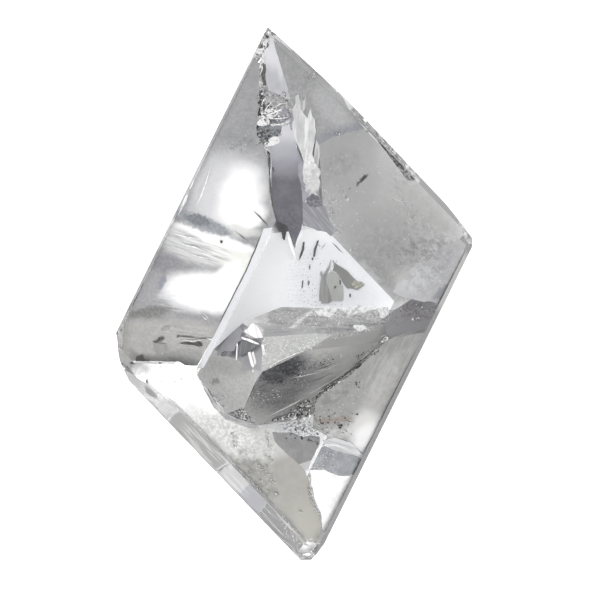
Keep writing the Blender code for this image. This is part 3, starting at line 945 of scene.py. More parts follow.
# Left mirror sheet with painted highlights, its slivers, and a strip of painted light by the resting facet.
WEST = {
    # Painted light: a mirror strip tuned to the bright floor seen through the resting facet beside it.
    "kite_edge": (("c4c5c8", "c1c2c5", "cloudy", 0, 1, 1), ("west", 0.12, 0), [
        [(-4.05, 8.5), (-6.48, 2.75), (-8.2, -0.6), (-10.1, -4.6), (-12.9, -9.9), (-12, -9.8), (-9.15, -4.6),
         (-7.25, -0.6), (-5.4, 2.9), (-2.85, 8.7)],
    ]),
    # A flat mirror sheet. Its lighter patches in FILM_MARKS are painted highlights, where the left face
    # mirrors the side lamp.
    "west_sheet": (("888889", "828284", "cloudy", 0, 1, 1), ("west", 0, 0.05), [
        [(-5.2, 31), (-4.6, 30), (-4.7, 24), (-5, 21), (-3.9, 19.2), (-3.5, 18), (-3.4, 13.4), (-3, 11.5),
         (-2.4, 9.6), (-3, 8.6), (-4.6, 5.2), (-6.5, 1.8), (-7.7, -0.7), (-9, -3.4), (-10.4, -5.2),
         (-12.8, -9.5), (-14.4, -9.5), (-15.2, -9), (-22.6, -8.8), (-22.7, -5.5), (-22.2, -3.5), (-20.5, 0)],
    ]),
    "west_shade": (("bcbbb8", "cccbc8", "cloudy", 0, 0.8, 0), ("west", 0.3, 0.15), [
        [(-18.6, -6.5), (-16.9, -6.6), (-16.8, -7.8), (-17.4, -8), (-18.4, -7.6)],
        [(-17.7, -4.9), (-17.2, -4.4), (-16.6, -4.2), (-16.4, -4.5), (-17, -4.9)],
        [(-15.8, -4.6), (-15.4, -4.3), (-15.4, -4.5), (-15.8, -4.7)],
    ]),
    "west_slivers": (("444444", "5e5e5c", "crumbly", 0, 1, 0), ("west", 0.4, 0.1), [
        [(-18.7, -6.3), (-18, -6.1), (-17.9, -5.8), (-17.4, -5.75), (-17.1, -6), (-17.6, -6.3),
         (-18.4, -6.5)],
        [(-15.6, -5.9), (-15.4, -5.5), (-15, -5.6), (-15.4, -5.8)],
        [(-15.2, -6.6), (-14.2, -6.4), (-13.2, -6.5), (-12.6, -6.3), (-12.2, -6.5), (-12.1, -6.9),
         (-12.6, -7), (-13.4, -6.8), (-14.4, -6.7)],
        [(-22.8, -8.6), (-21.9, -8.6), (-21.9, -8.8), (-22.8, -8.85)],
        [(-21, -8.8), (-20.8, -8.3), (-20, -8.1), (-19.7, -8.65), (-19.1, -8.7), (-19.2, -8.9),
         (-20.9, -8.9)],
        [(-17.9, -9.1), (-17.6, -9.1), (-17.6, -9.35), (-17.9, -9.3)],
        [(-9.75, 6.9), (-9.45, 6.9), (-9.5, 6.6), (-9.75, 6.6)],
    ]),
    "west_gleams": (("e8e8e8", "dcdcdc", "cloudy", 0, 1, 1), ("level", 0.4, 0.05), [
        [(-12.9, 11.4), (-12.6, 11.4), (-12.25, 10.6), (-12.75, 10.7)],
        [(-21.8, -9), (-21.2, -9), (-21.5, -9.6)],
        [(-7.1, 18.3), (-6.85, 18.3), (-6.9, 17.7), (-7.05, 17.7)],
    ]),
}
# The healed cracks around and below the inner crystal.
SOUTH = {
    "south_sheet": (("969591", "908f8a", "cloudy", 0, 1, 1), ("keel", 0.1, 0.05), [
        [(-22, -9.2), (-15.2, -9.2), (-14.4, -9.7), (-12.9, -9.7), (-12.7, -10.8), (-11.9, -12.4),
         (-10.6, -14.9), (-9, -16.6), (-6, -17.6), (-2.6, -17.6), (-1.2, -20.4), (1.3, -23), (2, -25),
         (2.3, -26.8), (3.1, -28.4), (3.5, -30.4), (3.2, -32), (2, -33.2), (1, -31.6), (-2, -28.3),
         (-5, -25.2), (-8.6, -21.5), (-12, -17.9), (-15.6, -14.2), (-18, -12.6), (-20.6, -11)],
    ]),
    "ground_sheet": (("8b8b8a", "828281", "cloudy", 0, 1, 1), ("keel", 0.1, 0.1), [
        [(12.2, -6), (14, -5.6), (17, -5.1), (15.3, -8.9), (10.8, -17.6), (9, -20.9), (8, -20.2),
         (6.8, -19.3), (4.6, -18.8), (2.4, -17.6), (2.6, -14.6), (3.6, -13.2), (7.2, -10.8), (10.6, -7.6)],
    ]),
    "keel_grey": (("767676", "828282", "cloudy", 0, 1, 1), ("keel", 0.3, 0.06), [
        [(-2.9, -18.2), (-0.2, -18.2), (1, -18.8), (2.2, -18.6), (3.4, -18.8), (3.3, -19.8), (2.3, -21.8),
         (0.6, -22.4), (-1.2, -20.8), (-2.6, -19.4)],
    ]),
    "keel_tip": (("a8a8aa", "9e9ea0", "cloudy", 0, 1, 1), ("keel", 0.2, 0.04), [
        [(0.1, -21.5), (2.4, -21.4), (1.8, -23.1), (1.2, -23)],
    ]),
    "east_quad": (("7c7e82", "949699", "cloudy", 0, 1, 1), ("keel", 0.3, 0.1), [
        [(3.9, -19.7), (5.4, -20.5), (8.9, -21.7), (8.2, -23.8), (5.4, -23.8), (2.8, -22.6), (2.9, -21.6),
         (3.4, -20.4)],
    ]),
    "east_band": (("b8b9ba", "a2a3a4", "ribbed", -18, 1, 1), ("keel", 0.35, 0.1), [
        [(3.7, -19.2), (5.2, -18.9), (7.4, -19.5), (9, -21.2), (8.6, -21.5), (5.6, -20.6), (4, -20)],
    ]),
    "east_white": (("e0e0e0", "cacaca", "cloudy", 0, 1, 1), ("keel", 0.2, 0.15), [
        [(2, -23.2), (5, -23.1), (5.6, -23.9), (7.9, -24), (6.8, -26.2), (5, -29.8), (4.2, -31.6),
         (3.7, -31.2), (3.5, -28.8), (2.7, -27), (2.2, -24.8)],
        [(1.6, -32.6), (3, -32.8), (2.6, -33.6), (1.9, -34.2), (0.9, -33.6)],
    ]),
}
# Skins of inclusions on the inner crystal, with its painted shade and painted gleams.
SKIN = {
    "brow_shade": (("acabb1", "b6b5bb", "cloudy", 0, 1, 0), ("brow_top", 0.1, 0.06), [
        [(-7.3, -4.3), (-6.9, -5), (-7.2, -5.8), (-7, -6.1), (-7.5, -6.4), (-8, -7.6), (-8.8, -7.8),
         (-9.2, -7.6), (-10.3, -8.3), (-10.2, -7.6), (-9.4, -6.5), (-8.4, -5.3)],
    ]),
    "brow_dark": (("808285", "98999c", "ribbed", 80, 1, 0), ("brow_top", 0.16, 0.05), [
        [(-7.6, -8.4), (-7.5, -7.2), (-7, -6.2), (-5.4, -6.4), (-4.6, -6.8), (-5.6, -7.3), (-6.6, -8)],
        [(-9.7, -8), (-9.2, -7.7), (-8.6, -7.6), (-8.2, -7.9), (-8.4, -8.2), (-9.2, -8.3), (-9.8, -8.3)],
    ]),
    "brow_quad": (("aeaeb2", "b8b8bb", "cloudy", 0, 0.9, 0), ("brow_top", 0.12, 0.03), [
        [(-7.1, -8.6), (-6, -8), (-5.5, -10.1), (-6.9, -10.1)],
    ]),
    "brow_gleams": (("e2e0e0", "c6c3c3", "ribbed", -75, 1, 1), ("crown", 0, 0.04), [
        [(-6.6, -5), (-5.5, -3.9), (-5, -4.2), (-4.6, -4.8), (-4.2, -5.8), (-5.2, -5.9), (-6, -5.4)],
        [(-7.1, -5.7), (-6.9, -6), (-5.2, -6.65), (-4.6, -6.75), (-4.9, -6.5), (-5.9, -6)],
        [(-6.15, -7.8), (-5.8, -7.6), (-5.2, -10.3), (-5.55, -10.4)],
        [(-5.65, -7.8), (-5.4, -7.6), (-4.75, -10.3), (-5.05, -10.4)],
        [(-4.45, -6.8), (-4.1, -6.7), (-3.8, -8.2), (-4.1, -8.2)],
        [(-7.65, -6.6), (-7.5, -6.6), (-7.6, -8.7), (-7.75, -8.7)],
    ]),
    "north_gleams": (("c6c6c6", "9a9a9c", "crumbly", 0, 1, 1), ("crown", 0.1, 0.3), [
        [(2.6, -2.2), (4.4, -1.7), (5.6, -2.2), (4.8, -3.2), (3.4, -3)],
        [(6, -2), (8.6, -1.6), (10.8, -1.8), (9.6, -2.5), (7.2, -2.9)],
        [(10.6, -2.2), (12.2, -1.7), (12.5, -2.6), (11.6, -3.3)],
        [(7.6, -4.4), (9, -4.2), (9.8, -4.8), (8.4, -5)],
    ]),
    "south_mottle": (("38393f", "6a6a6c", "crumbly", 0, 1, 0), ("south", 0.12, 0.2), [
        [(-4.3, -10.3), (-2.2, -9.6), (-0.6, -9), (0.4, -8.9), (0.6, -9.6), (0.2, -10.8), (-1, -10.9),
         (-2.6, -10.6), (-4.2, -10.7)],
        [(-3.6, -11.5), (-1.4, -11.2), (-1.6, -11.9), (-3.2, -11.9)],
    ]),
    "foot_shards": (("606060", "c0c0c0", "crumbly", 0, 1, 0), ("skirt", 0.15, 0.2), [
        [(-3.2, -17), (-2.4, -16.5), (-0.8, -16.2), (-0.7, -15.6), (0.2, -14.9), (1.2, -14.2), (2.4, -14),
         (2.3, -14.9), (1.9, -15.5), (2.4, -16.1), (2, -16.6), (0.9, -16.8), (-0.6, -16.9), (-2, -17)],
    ]),
}

# Marks on the films, as on the faces.
FILM_MARKS = {
    # Painted light, matching the bright floor seen through the resting facet.
    "kite_edge": (
        (-10.6, -5.8, 12, 8, 62, 0.6, 0.9, "bcbdc0", "even"),
    ),
    "crown_sheen": (
        (-3.1, 32.2, 5, 2.6, 100, 0.4, 1, "bcbcc0", "even"),
        (-2, 29.6, 4, 0.6, 105, 0.5, 0.6, "bebec2", "even"),
        (-2.2, 26.4, 2, 3, 0, 0.5, 0.8, "96969a", "mottled"),
    ),
    "crown_side": (
        (-0.2, 30, 4.6, 1.8, -60, 0.5, 0.6, "7c7c7c", "mottled"),
        (4.8, 24.6, 7, 3.4, -46, 0.4, 1, "929293", "even"),
        (6.6, 20.8, 8, 2.4, 16, 0.5, 0.9, "76787e", "even"),
        (1.6, 26.8, 4, 2, 60, 0.5, 0.5, "7c7c7c", "mottled"),
        (3, 26, 18, 10, -46, 0.4, 0.09, "d0d0d0", "grainy"),
    ),
    "east_corner": (
        (15.6, 1.7, 5.6, 3, 24, 0.6, 0.9, "a9aaab", "ragged"),
        (17.4, 3.4, 9, 5, 40, 0.5, 0.6, "7e7e80", "mottled"),
        (19.4, 4.6, 4.4, 2, 60, 0.6, 0.5, "747476", "mottled"),
        (18, 2.4, 8, 5, 30, 0.4, 0.35, "d0d0d2", "dusty"),
        (19.5, 0.2, 3.4, 1.2, 36, 0.4, 0.9, "78787c", "ragged"),
    ),
    # The lighter patches, from b4 to e2, are painted highlights of the side lamp in the left face. The darker
    # ones only darken the sheet.
    "west_sheet": (
        (-8.8, 13, 10.8, 9.4, 62, 0.45, 1, "b6b6b8", "even"),
        (-7.2, 12.4, 8.2, 5.2, 80, 0.45, 1, "e0e0e0", "even"),
        (-6.2, 10, 4.6, 3, 20, 0.4, 1, "dcdcdc", "even"),
        (-15, 11.4, 5, 2, 63, 0.4, 0.8, "8c8c90", "even"),
        (-11.8, 14.6, 5, 0.5, 66, 0.5, 0.6, "a6a6a8", "even"),
        (-7.6, 19.9, 4.4, 1.8, 4, 0.5, 0.6, "7e8286", "mottled"),
        (-6, 20.2, 1.4, 1.4, 80, 0.5, 0.8, "666a6a", "mottled"),
        (-12.4, 6.4, 11, 5, -18, 0.25, 1, "b4b4b5", "even"),
        (-8, 4.8, 7, 3.4, -32, 0.35, 1, "ccccc8", "even"),
        (-10, 7.1, 11, 1.5, -20, 0.35, 1, "dedede", "even"),
        (-6.6, 8.2, 4.4, 1.3, -8, 0.5, 0.8, "bcbcba", "even"),
        (-12.8, 5.8, 9, 4, -17, 0.4, 0.8, "929292", "ribbed"),
        (-11.6, 6.2, 8, 3.4, -19, 0.4, 0.6, "d6d6d6", "ribbed"),
        (-12.3, 0.3, 9.4, 5, -4, 0.35, 1, "e2e2e2", "even"),
        (-15.6, -0.6, 5, 3.4, -8, 0.5, 0.6, "c0c0c2", "ribbed"),
        (-9.3, 0.8, 7, 4, 60, 0.25, 1, "e0e0e0", "even"),
        (-17.3, 4, 4.8, 2.4, 6, 0.35, 1, "7a7a7e", "even"),
        (-19.4, 0.8, 5, 2.6, 64, 0.4, 0.9, "8b8b8d", "even"),
        (-17.4, 1.5, 2, 0.9, 70, 0.4, 0.9, "7c7c86", "even"),
        (-19.2, -2.6, 5.6, 1.5, 9, 0.35, 1, "6c6c6b", "even"),
        (-12.2, 9.2, 8.4, 1.9, -19, 0.3, 0.95, "8a8c90", "ragged"),
        (-14.8, 10.2, 2.6, 1.5, -10, 0.4, 0.9, "828487", "ragged"),
        (-12.7, 9.7, 3.6, 1.4, -14, 0.3, 0.95, "686c70", "ragged"),
        (-10.3, 8.6, 3.8, 1.3, -26, 0.3, 0.9, "6c7074", "grainy"),
        (-16.5, -6.2, 16, 5.6, 0, 0.2, 1, "949391", "even"),
        (-17, -6.4, 14, 4, 0, 0.3, 0.5, "858482", "mottled"),
        (-14, -5.6, 9, 3, -8, 0.3, 0.4, "a6a6a4", "ribbed"),
        (-14.4, -8.3, 5, 2.2, -4, 0.2, 1, "878786", "even"),
        (-17.6, -7.2, 1.8, 2.2, 0, 0.4, 0.7, "7c7b79", "mottled"),
        (-12, 8, 46, 22, 63, 0.3, 0.07, "e0e0e0", "grainy"),
    ),
    "south_sheet": (
        (-14.2, -13, 18, 7.4, -32, 0.12, 1, "e0e0e0", "even"),
        (-21, -9.8, 4.6, 1.8, -5, 0.4, 0.9, "bababa", "even"),
        (-16, -10.8, 9, 2.4, -16, 0.3, 0.5, "a2a2a2", "dusty"),
        (-13, -16.4, 5, 3, -45, 0.4, 1, "c6c6c6", "even"),
        (-8.4, -18.9, 10.4, 4.6, -26, 0.3, 1, "b4b4b2", "even"),
        (-3.4, -19.8, 6, 4.4, 10, 0.3, 0.9, "aeaeac", "even"),
        (-8, -19.3, 2.8, 1.4, 86, 0.6, 0.5, "dcdcdc", "grainy"),
        (-3.1, -20.6, 3.4, 1.4, 80, 0.6, 0.5, "c8c8c8", "grainy"),
        (-7, -19.6, 14, 6, -30, 0.4, 0.4, "8e8e8c", "mottled"),
        (-9, -17.6, 12, 4, -34, 0.4, 0.5, "dcdcdc", "grainy"),
        (-9.8, -21.4, 3, 1.1, 20, 0.5, 0.8, "d0d0d0", "grainy"),
        (-5, -23.8, 8, 4.2, -48, 0.35, 0.9, "7c7c7a", "mottled"),
        (1.6, -29.8, 5, 3, -70, 0.5, 0.6, "a09e96", "even"),
        (1.4, -33.2, 3, 2, 0, 0.4, 0.9, "cecece", "grainy"),
    ),
    "ground_sheet": (
        (11.2, -12.6, 11, 2.6, 62, 0.4, 0.6, "a4a3a1", "even"),
        (11.6, -9, 12, 8, 80, 0.3, 0.5, "7a7a7a", "mottled"),
        (12.4, -9.4, 12, 5, 62, 0.4, 0.45, "a0a09f", "ribbed"),
        (6.4, -13.6, 9, 5, 40, 0.4, 0.4, "c0c0c0", "dusty"),
        (5.6, -13, 7, 2, 38, 0.4, 0.7, "6a6a68", "mottled"),
        (5.4, -16.6, 6, 0.8, 4, 0.4, 0.6, "7e716a", "ragged"),
        (9.2, -17.4, 4.4, 3.6, 40, 0.5, 0.9, "b8b8b6", "even"),
        (9.2, -19, 4.2, 2.6, 50, 0.5, 1, "cacaca", "even"),
        (5.6, -18.2, 5, 1.8, 10, 0.5, 0.7, "b8b8b8", "mottled"),
    ),
    "pitted_edge": (
        (12.2, 19.2, 13, 3, -46, 0.3, 0.9, "c4c4c4", "grainy"),
    ),
    "lobe": (
        (-1.2, 21, 5, 5, 90, 0.5, 1, "b2b2b6", "even"),
        (-1.2, 18.2, 4, 5, 90, 0.5, 0.9, "96969c", "even"),
        (-1.2, 16.4, 2.6, 5, 90, 0.5, 0.6, "7c7b82", "ragged"),
        (-1, 9.4, 4.4, 3.4, 90, 0.4, 0.7, "504f56", "grainy"),
        (-2.2, 13.6, 3.4, 1.4, 90, 0.5, 0.5, "58575e", "mottled"),
    ),
    "flame": (
        (0.4, 21.6, 4, 1.4, 90, 0.4, 0.6, "a4a4a6", "even"),
        (1.4, 20.4, 9, 3.4, 84, 0.4, 0.8, "cccccd", "ribbed"),
        (2.4, 16.4, 5, 2.4, 80, 0.5, 0.6, "dadada", "grainy"),
        (2.2, 15, 4, 2.6, 70, 0.5, 0.7, "a0a0a0", "mottled"),
    ),
}

# ---- Threads: fine bright and dark lines: what they lie on, width in millimetres, and their points ----

PALE_THREADS = [
    ("crown", 0.14, [(8, 23), (9.2, 21.7), (10.2, 20.6), (11.4, 19.4), (12.4, 18.2)]),
    ("crown", 0.1, [(3.4, 28.6), (5, 26.9), (6.8, 25), (8.2, 23.5)]),
    ("crown", 0.2, [(-4.3, 22.8), (-3.2, 23.5), (-2.2, 23.9), (-1.3, 24.3)]),
    ("crown", 0.16, [(-4.2, 23.6), (-3.5, 24.5), (-2.8, 25.3)]),
    ("crown", 0.14, [(-4, 23.2), (-2.8, 22.9), (-1.6, 22.9), (-0.5, 23.2)]),
    ("crown", 0.16, [(-4.4, 24.2), (-4.1, 25.2), (-3.6, 26)]),
    ("crown", 0.12, [(-2.8, 24.2), (-1.9, 24.8), (-1, 24.9)]),
    ("crown", 0.12, [(-4.6, 28.4), (-4.2, 29.4), (-4.3, 30.4)]),
    ("west", 0.16, [(-16.2, 7.9), (-14, 7.4), (-11.6, 6.9)]),
    ("west", 0.2, [(-15.4, 6.6), (-13.2, 6.1), (-11, 5.2)]),
    ("west", 0.12, [(-14.6, 5.4), (-12.4, 4.8), (-10.2, 4.3)]),
    ("south", 0.1, [(-0.4, -11.15), (0.8, -11), (2.4, -10.65), (4.2, -10.3)]),
    ("south", 0.08, [(2.4, -10.4), (4.4, -10), (6.2, -9.2)]),
    ("south", 0.16, [(-3.6, -16.4), (-1.6, -15.4), (0.2, -14.5), (1.8, -13.6)]),
    ("south", 0.13, [(1.6, -13.6), (3.4, -12.5), (5.6, -11.2), (7.6, -9.8)]),
    ("south", 0.12, [(7.4, -9.8), (9, -8.7), (10.2, -7.2)]),
    ("south", 0.12, [(6.1, -7.8), (6.2, -8.3), (6.1, -8.7)]),
    ("top", 0.12, [(-3.6, -9.7), (-1.8, -8.8), (0.2, -7.9), (1.9, -7.25)]),
    ("flank_skirt", 0.16, [(3.4, -12.9), (5.2, -11.9), (7, -10.9), (8.2, -10.2)]),
    ("shoulder", 0.12, [(11, -6), (11.8, -5.6), (12.8, -5.3)]),
    ("south_east", 0.12, [(11.6, -6.3), (12.3, -5.9), (12.9, -5.5)]),
    ("west", 0.16, [(-10.9, 16.9), (-11.5, 14.9), (-12.2, 12.9), (-12.9, 11.4)]),
    ("west", 0.13, [(-13.5, 14), (-14.2, 12.5), (-15, 10.8), (-15.4, 10.1)]),
    ("west", 0.1, [(-13.8, 13.2), (-14.3, 12), (-14.9, 10.8)]),
    ("crown", 0.1, [(-5.3, 20.9), (-5.3, 20.2), (-5.1, 19.6), (-5, 18.8)]),
    ("crown", 0.1, [(-4.95, 21), (-4.9, 20.2), (-5, 19.4), (-5, 18.6)]),
    ("keel", 0.14, [(2, -22.9), (2.4, -21.9), (3, -20.4), (3.6, -19.2)]),
    ("keel", 0.12, [(3, -20.2), (4.2, -19.8), (5.4, -19.9), (7, -20.3)]),
    ("back", 0.13, [(12.9, 12.9), (13.6, 12.5), (14.3, 12.25), (14.9, 12.2)]),
    ("back", 0.12, [(15, 9.9), (15.3, 9.4), (15.6, 9.2)]),
    ("back", 0.1, [(15.2, 10.1), (15.6, 9.9), (15.8, 9.6)]),
    ("back", 0.1, [(6, 14.4), (6.4, 13.8), (6.6, 13.2)]),
    ("back", 0.08, [(6.2, 14.5), (6.7, 13.9), (6.9, 13.3)]),
    ("back", 0.1, [(4.6, 11.4), (4.9, 10.4), (5.2, 9.8)]),
    ("west", 0.1, [(-3, 17.9), (-3.1, 16), (-3.05, 13.8)]),
    ("west", 0.14, [(-11.6, -5.8), (-11, -6.1), (-10.5, -5.7)]),
    ("west", 0.12, [(-14.8, -6.15), (-13.4, -6.3), (-11.8, -6.05)]),
    ("west", 0.12, [(-12.2, -2.9), (-11.8, -3.3), (-11.4, -3.5)]),
    ("west", 0.1, [(-12, -2.6), (-11.6, -3), (-11.3, -3.4)]),
]
DARK_THREADS = [
    ("west", 0.14, [(-5.5, 10.9), (-4.7, 10.2), (-4, 9.4), (-3.4, 8.8)]),
    ("west", 0.13, [(-10, -4.2), (-9.2, -2.6), (-8.2, -0.6), (-7.2, 1.4), (-6.4, 2.9), (-5.2, 5.7),
                    (-4.1, 8.3)]),
    ("flank_skirt", 0.26, [(3.2, -13), (4.2, -12.4), (5.2, -11.8), (6.4, -11.2), (7.1, -10.6)]),
    ("flank_skirt", 0.14, [(7, -10.6), (7.8, -10.1), (8.4, -9.5), (8.9, -9.3)]),
    ("south", 0.14, [(7.6, -9.5), (8.4, -9.2), (9.6, -8.4), (10.6, -7.4)]),
    ("south", 0.14, [(-4.3, -10.1), (-5.4, -12.4), (-6.6, -15)]),
    ("south", 0.12, [(2.4, -10.2), (4.2, -9.7), (5.6, -9.1)]),
    ("south", 0.12, [(1.4, -11.9), (3.4, -11.3), (5.2, -10.4)]),
    ("back", 0.14, [(-12.6, -12), (-11.9, -12.6), (-11, -14), (-10.2, -15.4)]),
    ("back", 0.12, [(-10.2, -15.4), (-9.2, -16), (-7.8, -16.8), (-6.6, -17.2)]),
    ("back", 0.1, [(3.5, 6), (3.9, 6.4), (4.3, 7)]),
    ("back", 0.1, [(3.2, 6.8), (3.35, 6.4), (3.6, 6.5)]),
    ("back", 0.22, [(8.5, 14.7), (8.9, 15), (9.2, 15.4), (9.7, 15.9)]),
    ("back", 0.14, [(7.2, 13.9), (7.4, 14.1), (7.5, 14.2)]),
    ("back", 0.1, [(6.7, 13.2), (6.9, 13), (7, 12.6)]),
    ("back", 0.14, [(5, 6.95), (5.5, 6.5), (6, 6), (6.6, 5.4)]),
    ("west", 0.12, [(-8, 8.3), (-6.8, 7.4), (-6.2, 7)]),
    ("west", 0.12, [(-13.2, -5.9), (-12, -5.95), (-11, -5.85)]),
    ("west", 0.12, [(-15.4, -5.6), (-14.6, -5.7), (-13.6, -5.75), (-12.8, -5.9)]),
    ("back", 0.1, [(11, -6.1), (11.9, -5.7), (12.7, -5.4)]),
]

# ---- Grains: what they lie on, how many, their largest half-width, and the outline they lie in ----

WHITE_GRAINS = [
    ("crown", 60, 0.13, [(-5, 26.4), (-0.6, 26.4), (-0.4, 22.4), (-2, 20.2), (-5, 19.6)]),
    ("crown", 22, 0.1, [(-5.4, 21.2), (-3.4, 19.2), (-3.2, 17.6), (-5.2, 17.8), (-9, 20.6)]),
    ("west", 26, 0.1, [(-8.8, 20.8), (-6, 20.8), (-6, 18.4), (-8.6, 18.8)]),
    ("back", 14, 0.12, [(-1.2, 13), (1, 12.6), (1, 9.4), (-1.4, 9.8)]),
    ("back", 46, 0.09, [(2.4, 14.4), (6.4, 13.4), (6.4, 7.4), (4.2, 8.4), (1.4, 11)]),
    ("back", 150, 0.055, [(3.2, 22), (9.4, 21.4), (20, 9), (12, 1), (5, 8.6)]),
    ("crown", 12, 0.12, [(1.4, 28.9), (2.6, 28.9), (2.6, 28.1), (1.4, 28.1)]),
    ("crown", 8, 0.12, [(5.3, 21), (6.2, 21), (6.2, 20.5), (5.3, 20.5)]),
    ("back", 4, 0.17, [(4.5, 12.7), (4.8, 12.7), (4.8, 12.2), (4.5, 12.2)]),
    ("back", 4, 0.15, [(7, 12.8), (7.3, 12.8), (7.3, 12.4), (7, 12.4)]),
    ("top", 90, 0.08, [(-4.2, -5.9), (4.4, -5.7), (1.9, -7.3), (-4.2, -10.2)]),
    ("north", 110, 0.08, [(-4, -3.9), (2.8, -5.3), (12, -3.9), (13, -2.6), (-1.6, -2.4)]),
    ("upper_bevel", 40, 0.08, [(-6.4, -4.2), (-4.2, -5.8), (2.8, -5.3), (-5.4, -3.8)]),
    ("crown", 130, 0.065, [(4, -2.4), (13.2, -2), (12.4, -3.8), (6, -3.6)]),
    ("crown", 70, 0.06, [(-4, -3.2), (4, -2.6), (4, -4.8), (-3, -5.2)]),
    ("shoulder", 40, 0.08, [(4.6, -5.6), (11.8, -4.1), (10.8, -4.7), (5, -6.2)]),
    ("shoulder", 8, 0.14, [(1.2, -6.5), (2.2, -6.9), (2.2, -7.3), (1.2, -7.2)]),
    ("south", 36, 0.06, [(-6, -13), (-2, -12.6), (-1.6, -14.4), (-6.4, -14.6)]),
    ("south", 26, 0.06, [(-0.8, -9.2), (5, -8.6), (2, -12.4), (-1.4, -12.2)]),
    ("head", 26, 0.06, [(-11.4, -13.2), (-9, -13.2), (-8.6, -15.4), (-9.8, -15.2)]),
    ("chin", 60, 0.08, [(-8, -15.9), (-6.7, -15.3), (-5.2, -17), (-6.8, -16.9)]),
    ("skirt", 120, 0.11, [(-3.2, -16.9), (-0.8, -16.2), (1.4, -14.2), (2.4, -14.1), (2, -16.7)]),
    ("flank_skirt", 60, 0.09, [(2.4, -14.2), (3.2, -13), (8.6, -9.6), (8.2, -10.6), (3.4, -14.4)]),
    ("keel", 40, 0.1, [(-8.4, -18.2), (-7.6, -18.4), (-7.4, -20.4), (-8, -20.2)]),
    ("keel", 40, 0.1, [(-4, -18), (-2.8, -18.4), (-2.8, -22.2), (-3.8, -21.8)]),
    ("keel", 70, 0.08, [(-6.8, -22.4), (-3.6, -21.9), (-1.8, -26.6), (-4.6, -26.4)]),
    ("keel", 5, 0.15, [(0.7, -28.6), (1.1, -28.6), (1.1, -29), (0.7, -29)]),
    ("keel", 5, 0.16, [(-2.5, -26.2), (-2, -26.2), (-2, -26.6), (-2.5, -26.6)]),
    ("keel", 80, 0.09, [(1.9, -24.6), (2.6, -26.6), (3.4, -29), (2.4, -28.8), (1.6, -25.6)]),
    ("keel", 70, 0.08, [(3.2, -20.6), (6, -20.8), (5.6, -23.6), (2.6, -22.8)]),
    ("keel", 50, 0.11, [(0.4, -16.9), (8.2, -16.6), (8, -18.4), (1, -18.8)]),
    ("keel", 30, 0.07, [(-2, -28.6), (0.6, -31.4), (1.6, -33.6), (-0.6, -31.8)]),
    ("root_left", 6, 0.08, [(14, -2), (17, -1.2), (18, -2.2), (15, -2.6)]),
    ("root_right", 8, 0.1, [(15.4, -3.1), (16.8, -3.1), (16.6, -3.6), (15.4, -3.6)]),
]
DARK_GRAINS = [
    ("crown", 70, 0.12, [(-4.8, 26.6), (-3.4, 26.2), (-3.2, 22.4), (-3.4, 19.6), (-5, 19.6), (-4.9, 22.6)]),
    ("crown", 34, 0.08, [(-3.4, 26.2), (-0.8, 26), (-0.4, 22.8), (-3, 22.6)]),
    ("crown", 14, 0.08, [(-4.2, 33.6), (-3.2, 33.8), (-3.4, 32.4), (-4, 32.2)]),
    ("back", 30, 0.08, [(1.4, 13.2), (3.4, 12.8), (3.6, 11.4), (1.6, 11.6)]),
    ("back", 18, 0.1, [(0.2, 10.9), (1, 10.9), (1, 10), (0, 10)]),
    ("keel", 30, 0.05, [(-20, -9.4), (-13, -9.8), (-13.2, -12.4), (-19, -11.6)]),
    ("keel", 14, 0.09, [(-19.8, -11.2), (-19, -11), (-19.2, -11.8), (-19.8, -11.8)]),
    ("south", 60, 0.11, [(-2.2, -9.5), (0.6, -8.8), (0.6, -10.8), (-1.2, -11)]),
    ("south", 40, 0.09, [(0.8, -9.2), (5.2, -8.3), (5, -9.2), (1.4, -10.2)]),
    ("south", 40, 0.08, [(-4, -10.6), (1.6, -11.4), (2.2, -12.2), (-3.8, -12.2)]),
    ("south", 22, 0.08, [(8, -8.4), (10.4, -7), (10.4, -7.9), (8.8, -9)]),
    ("chin", 44, 0.1, [(-8.7, -15.7), (-6.8, -15.1), (-5.2, -17.2), (-7, -16.9)]),
    ("head", 26, 0.07, [(-10.8, -13.2), (-9.4, -13.2), (-9.2, -15.2), (-10.4, -14.8)]),
    ("skirt", 64, 0.12, [(-3.3, -17), (-0.8, -16.3), (0.8, -14.5), (2.3, -14.2), (1.6, -16.5)]),
    ("flank_skirt", 80, 0.1, [(2.6, -13.8), (4.4, -12.4), (9, -9.4), (9.6, -9.6), (5.6, -12.6), (3, -14.6)]),
    ("root_left", 14, 0.07, [(12.8, -3.6), (14, -2.2), (14.6, -2.6), (13.6, -4.2)]),
    ("keel", 50, 0.1, [(0.2, -17.4), (3.4, -17.4), (3.2, -19.8), (-1.4, -19)]),
    ("keel", 40, 0.09, [(2.6, -14.6), (8.4, -15.8), (8.2, -16.8), (1.8, -17.2)]),
    ("keel", 8, 0.09, [(8, -11.4), (8.6, -11.6), (8.7, -12.4), (8.1, -12.4)]),
    ("keel", 8, 0.09, [(10.4, -7.5), (11, -7.4), (10.9, -8), (10.4, -8)]),
    ("keel", 8, 0.12, [(5.8, -17.2), (6.2, -17.2), (6.2, -17.6), (5.8, -17.6)]),
    ("north_east_bevel", 60, 0.1, [(8.4, 21.8), (12, 19.6), (15.6, 15.4), (16, 15.6), (10.4, 21.6)]),
]


def film_group(name, look, lie, outlines):
    """One piece of the films of a table's row."""
    tone, second, *rest = look
    material = crack_quartz(name, linear(tone), linear(second), *rest, FILM_MARKS.get(name, ()))
    group = bmesh.new()
    for seed, outline in enumerate(outlines, 1):
        add_film(group, outline, *lie, seed)
    new_piece(name, group, [material])


def film_groups(table):
    """A piece for each row of a table of films."""
    for name, row in table.items():
        film_group(name, *row)
    return {"FINISHED"}


def darker(tone):
    """The second tone of a thread or a grain."""
    return tuple(SECOND_TONE * channel for channel in tone)


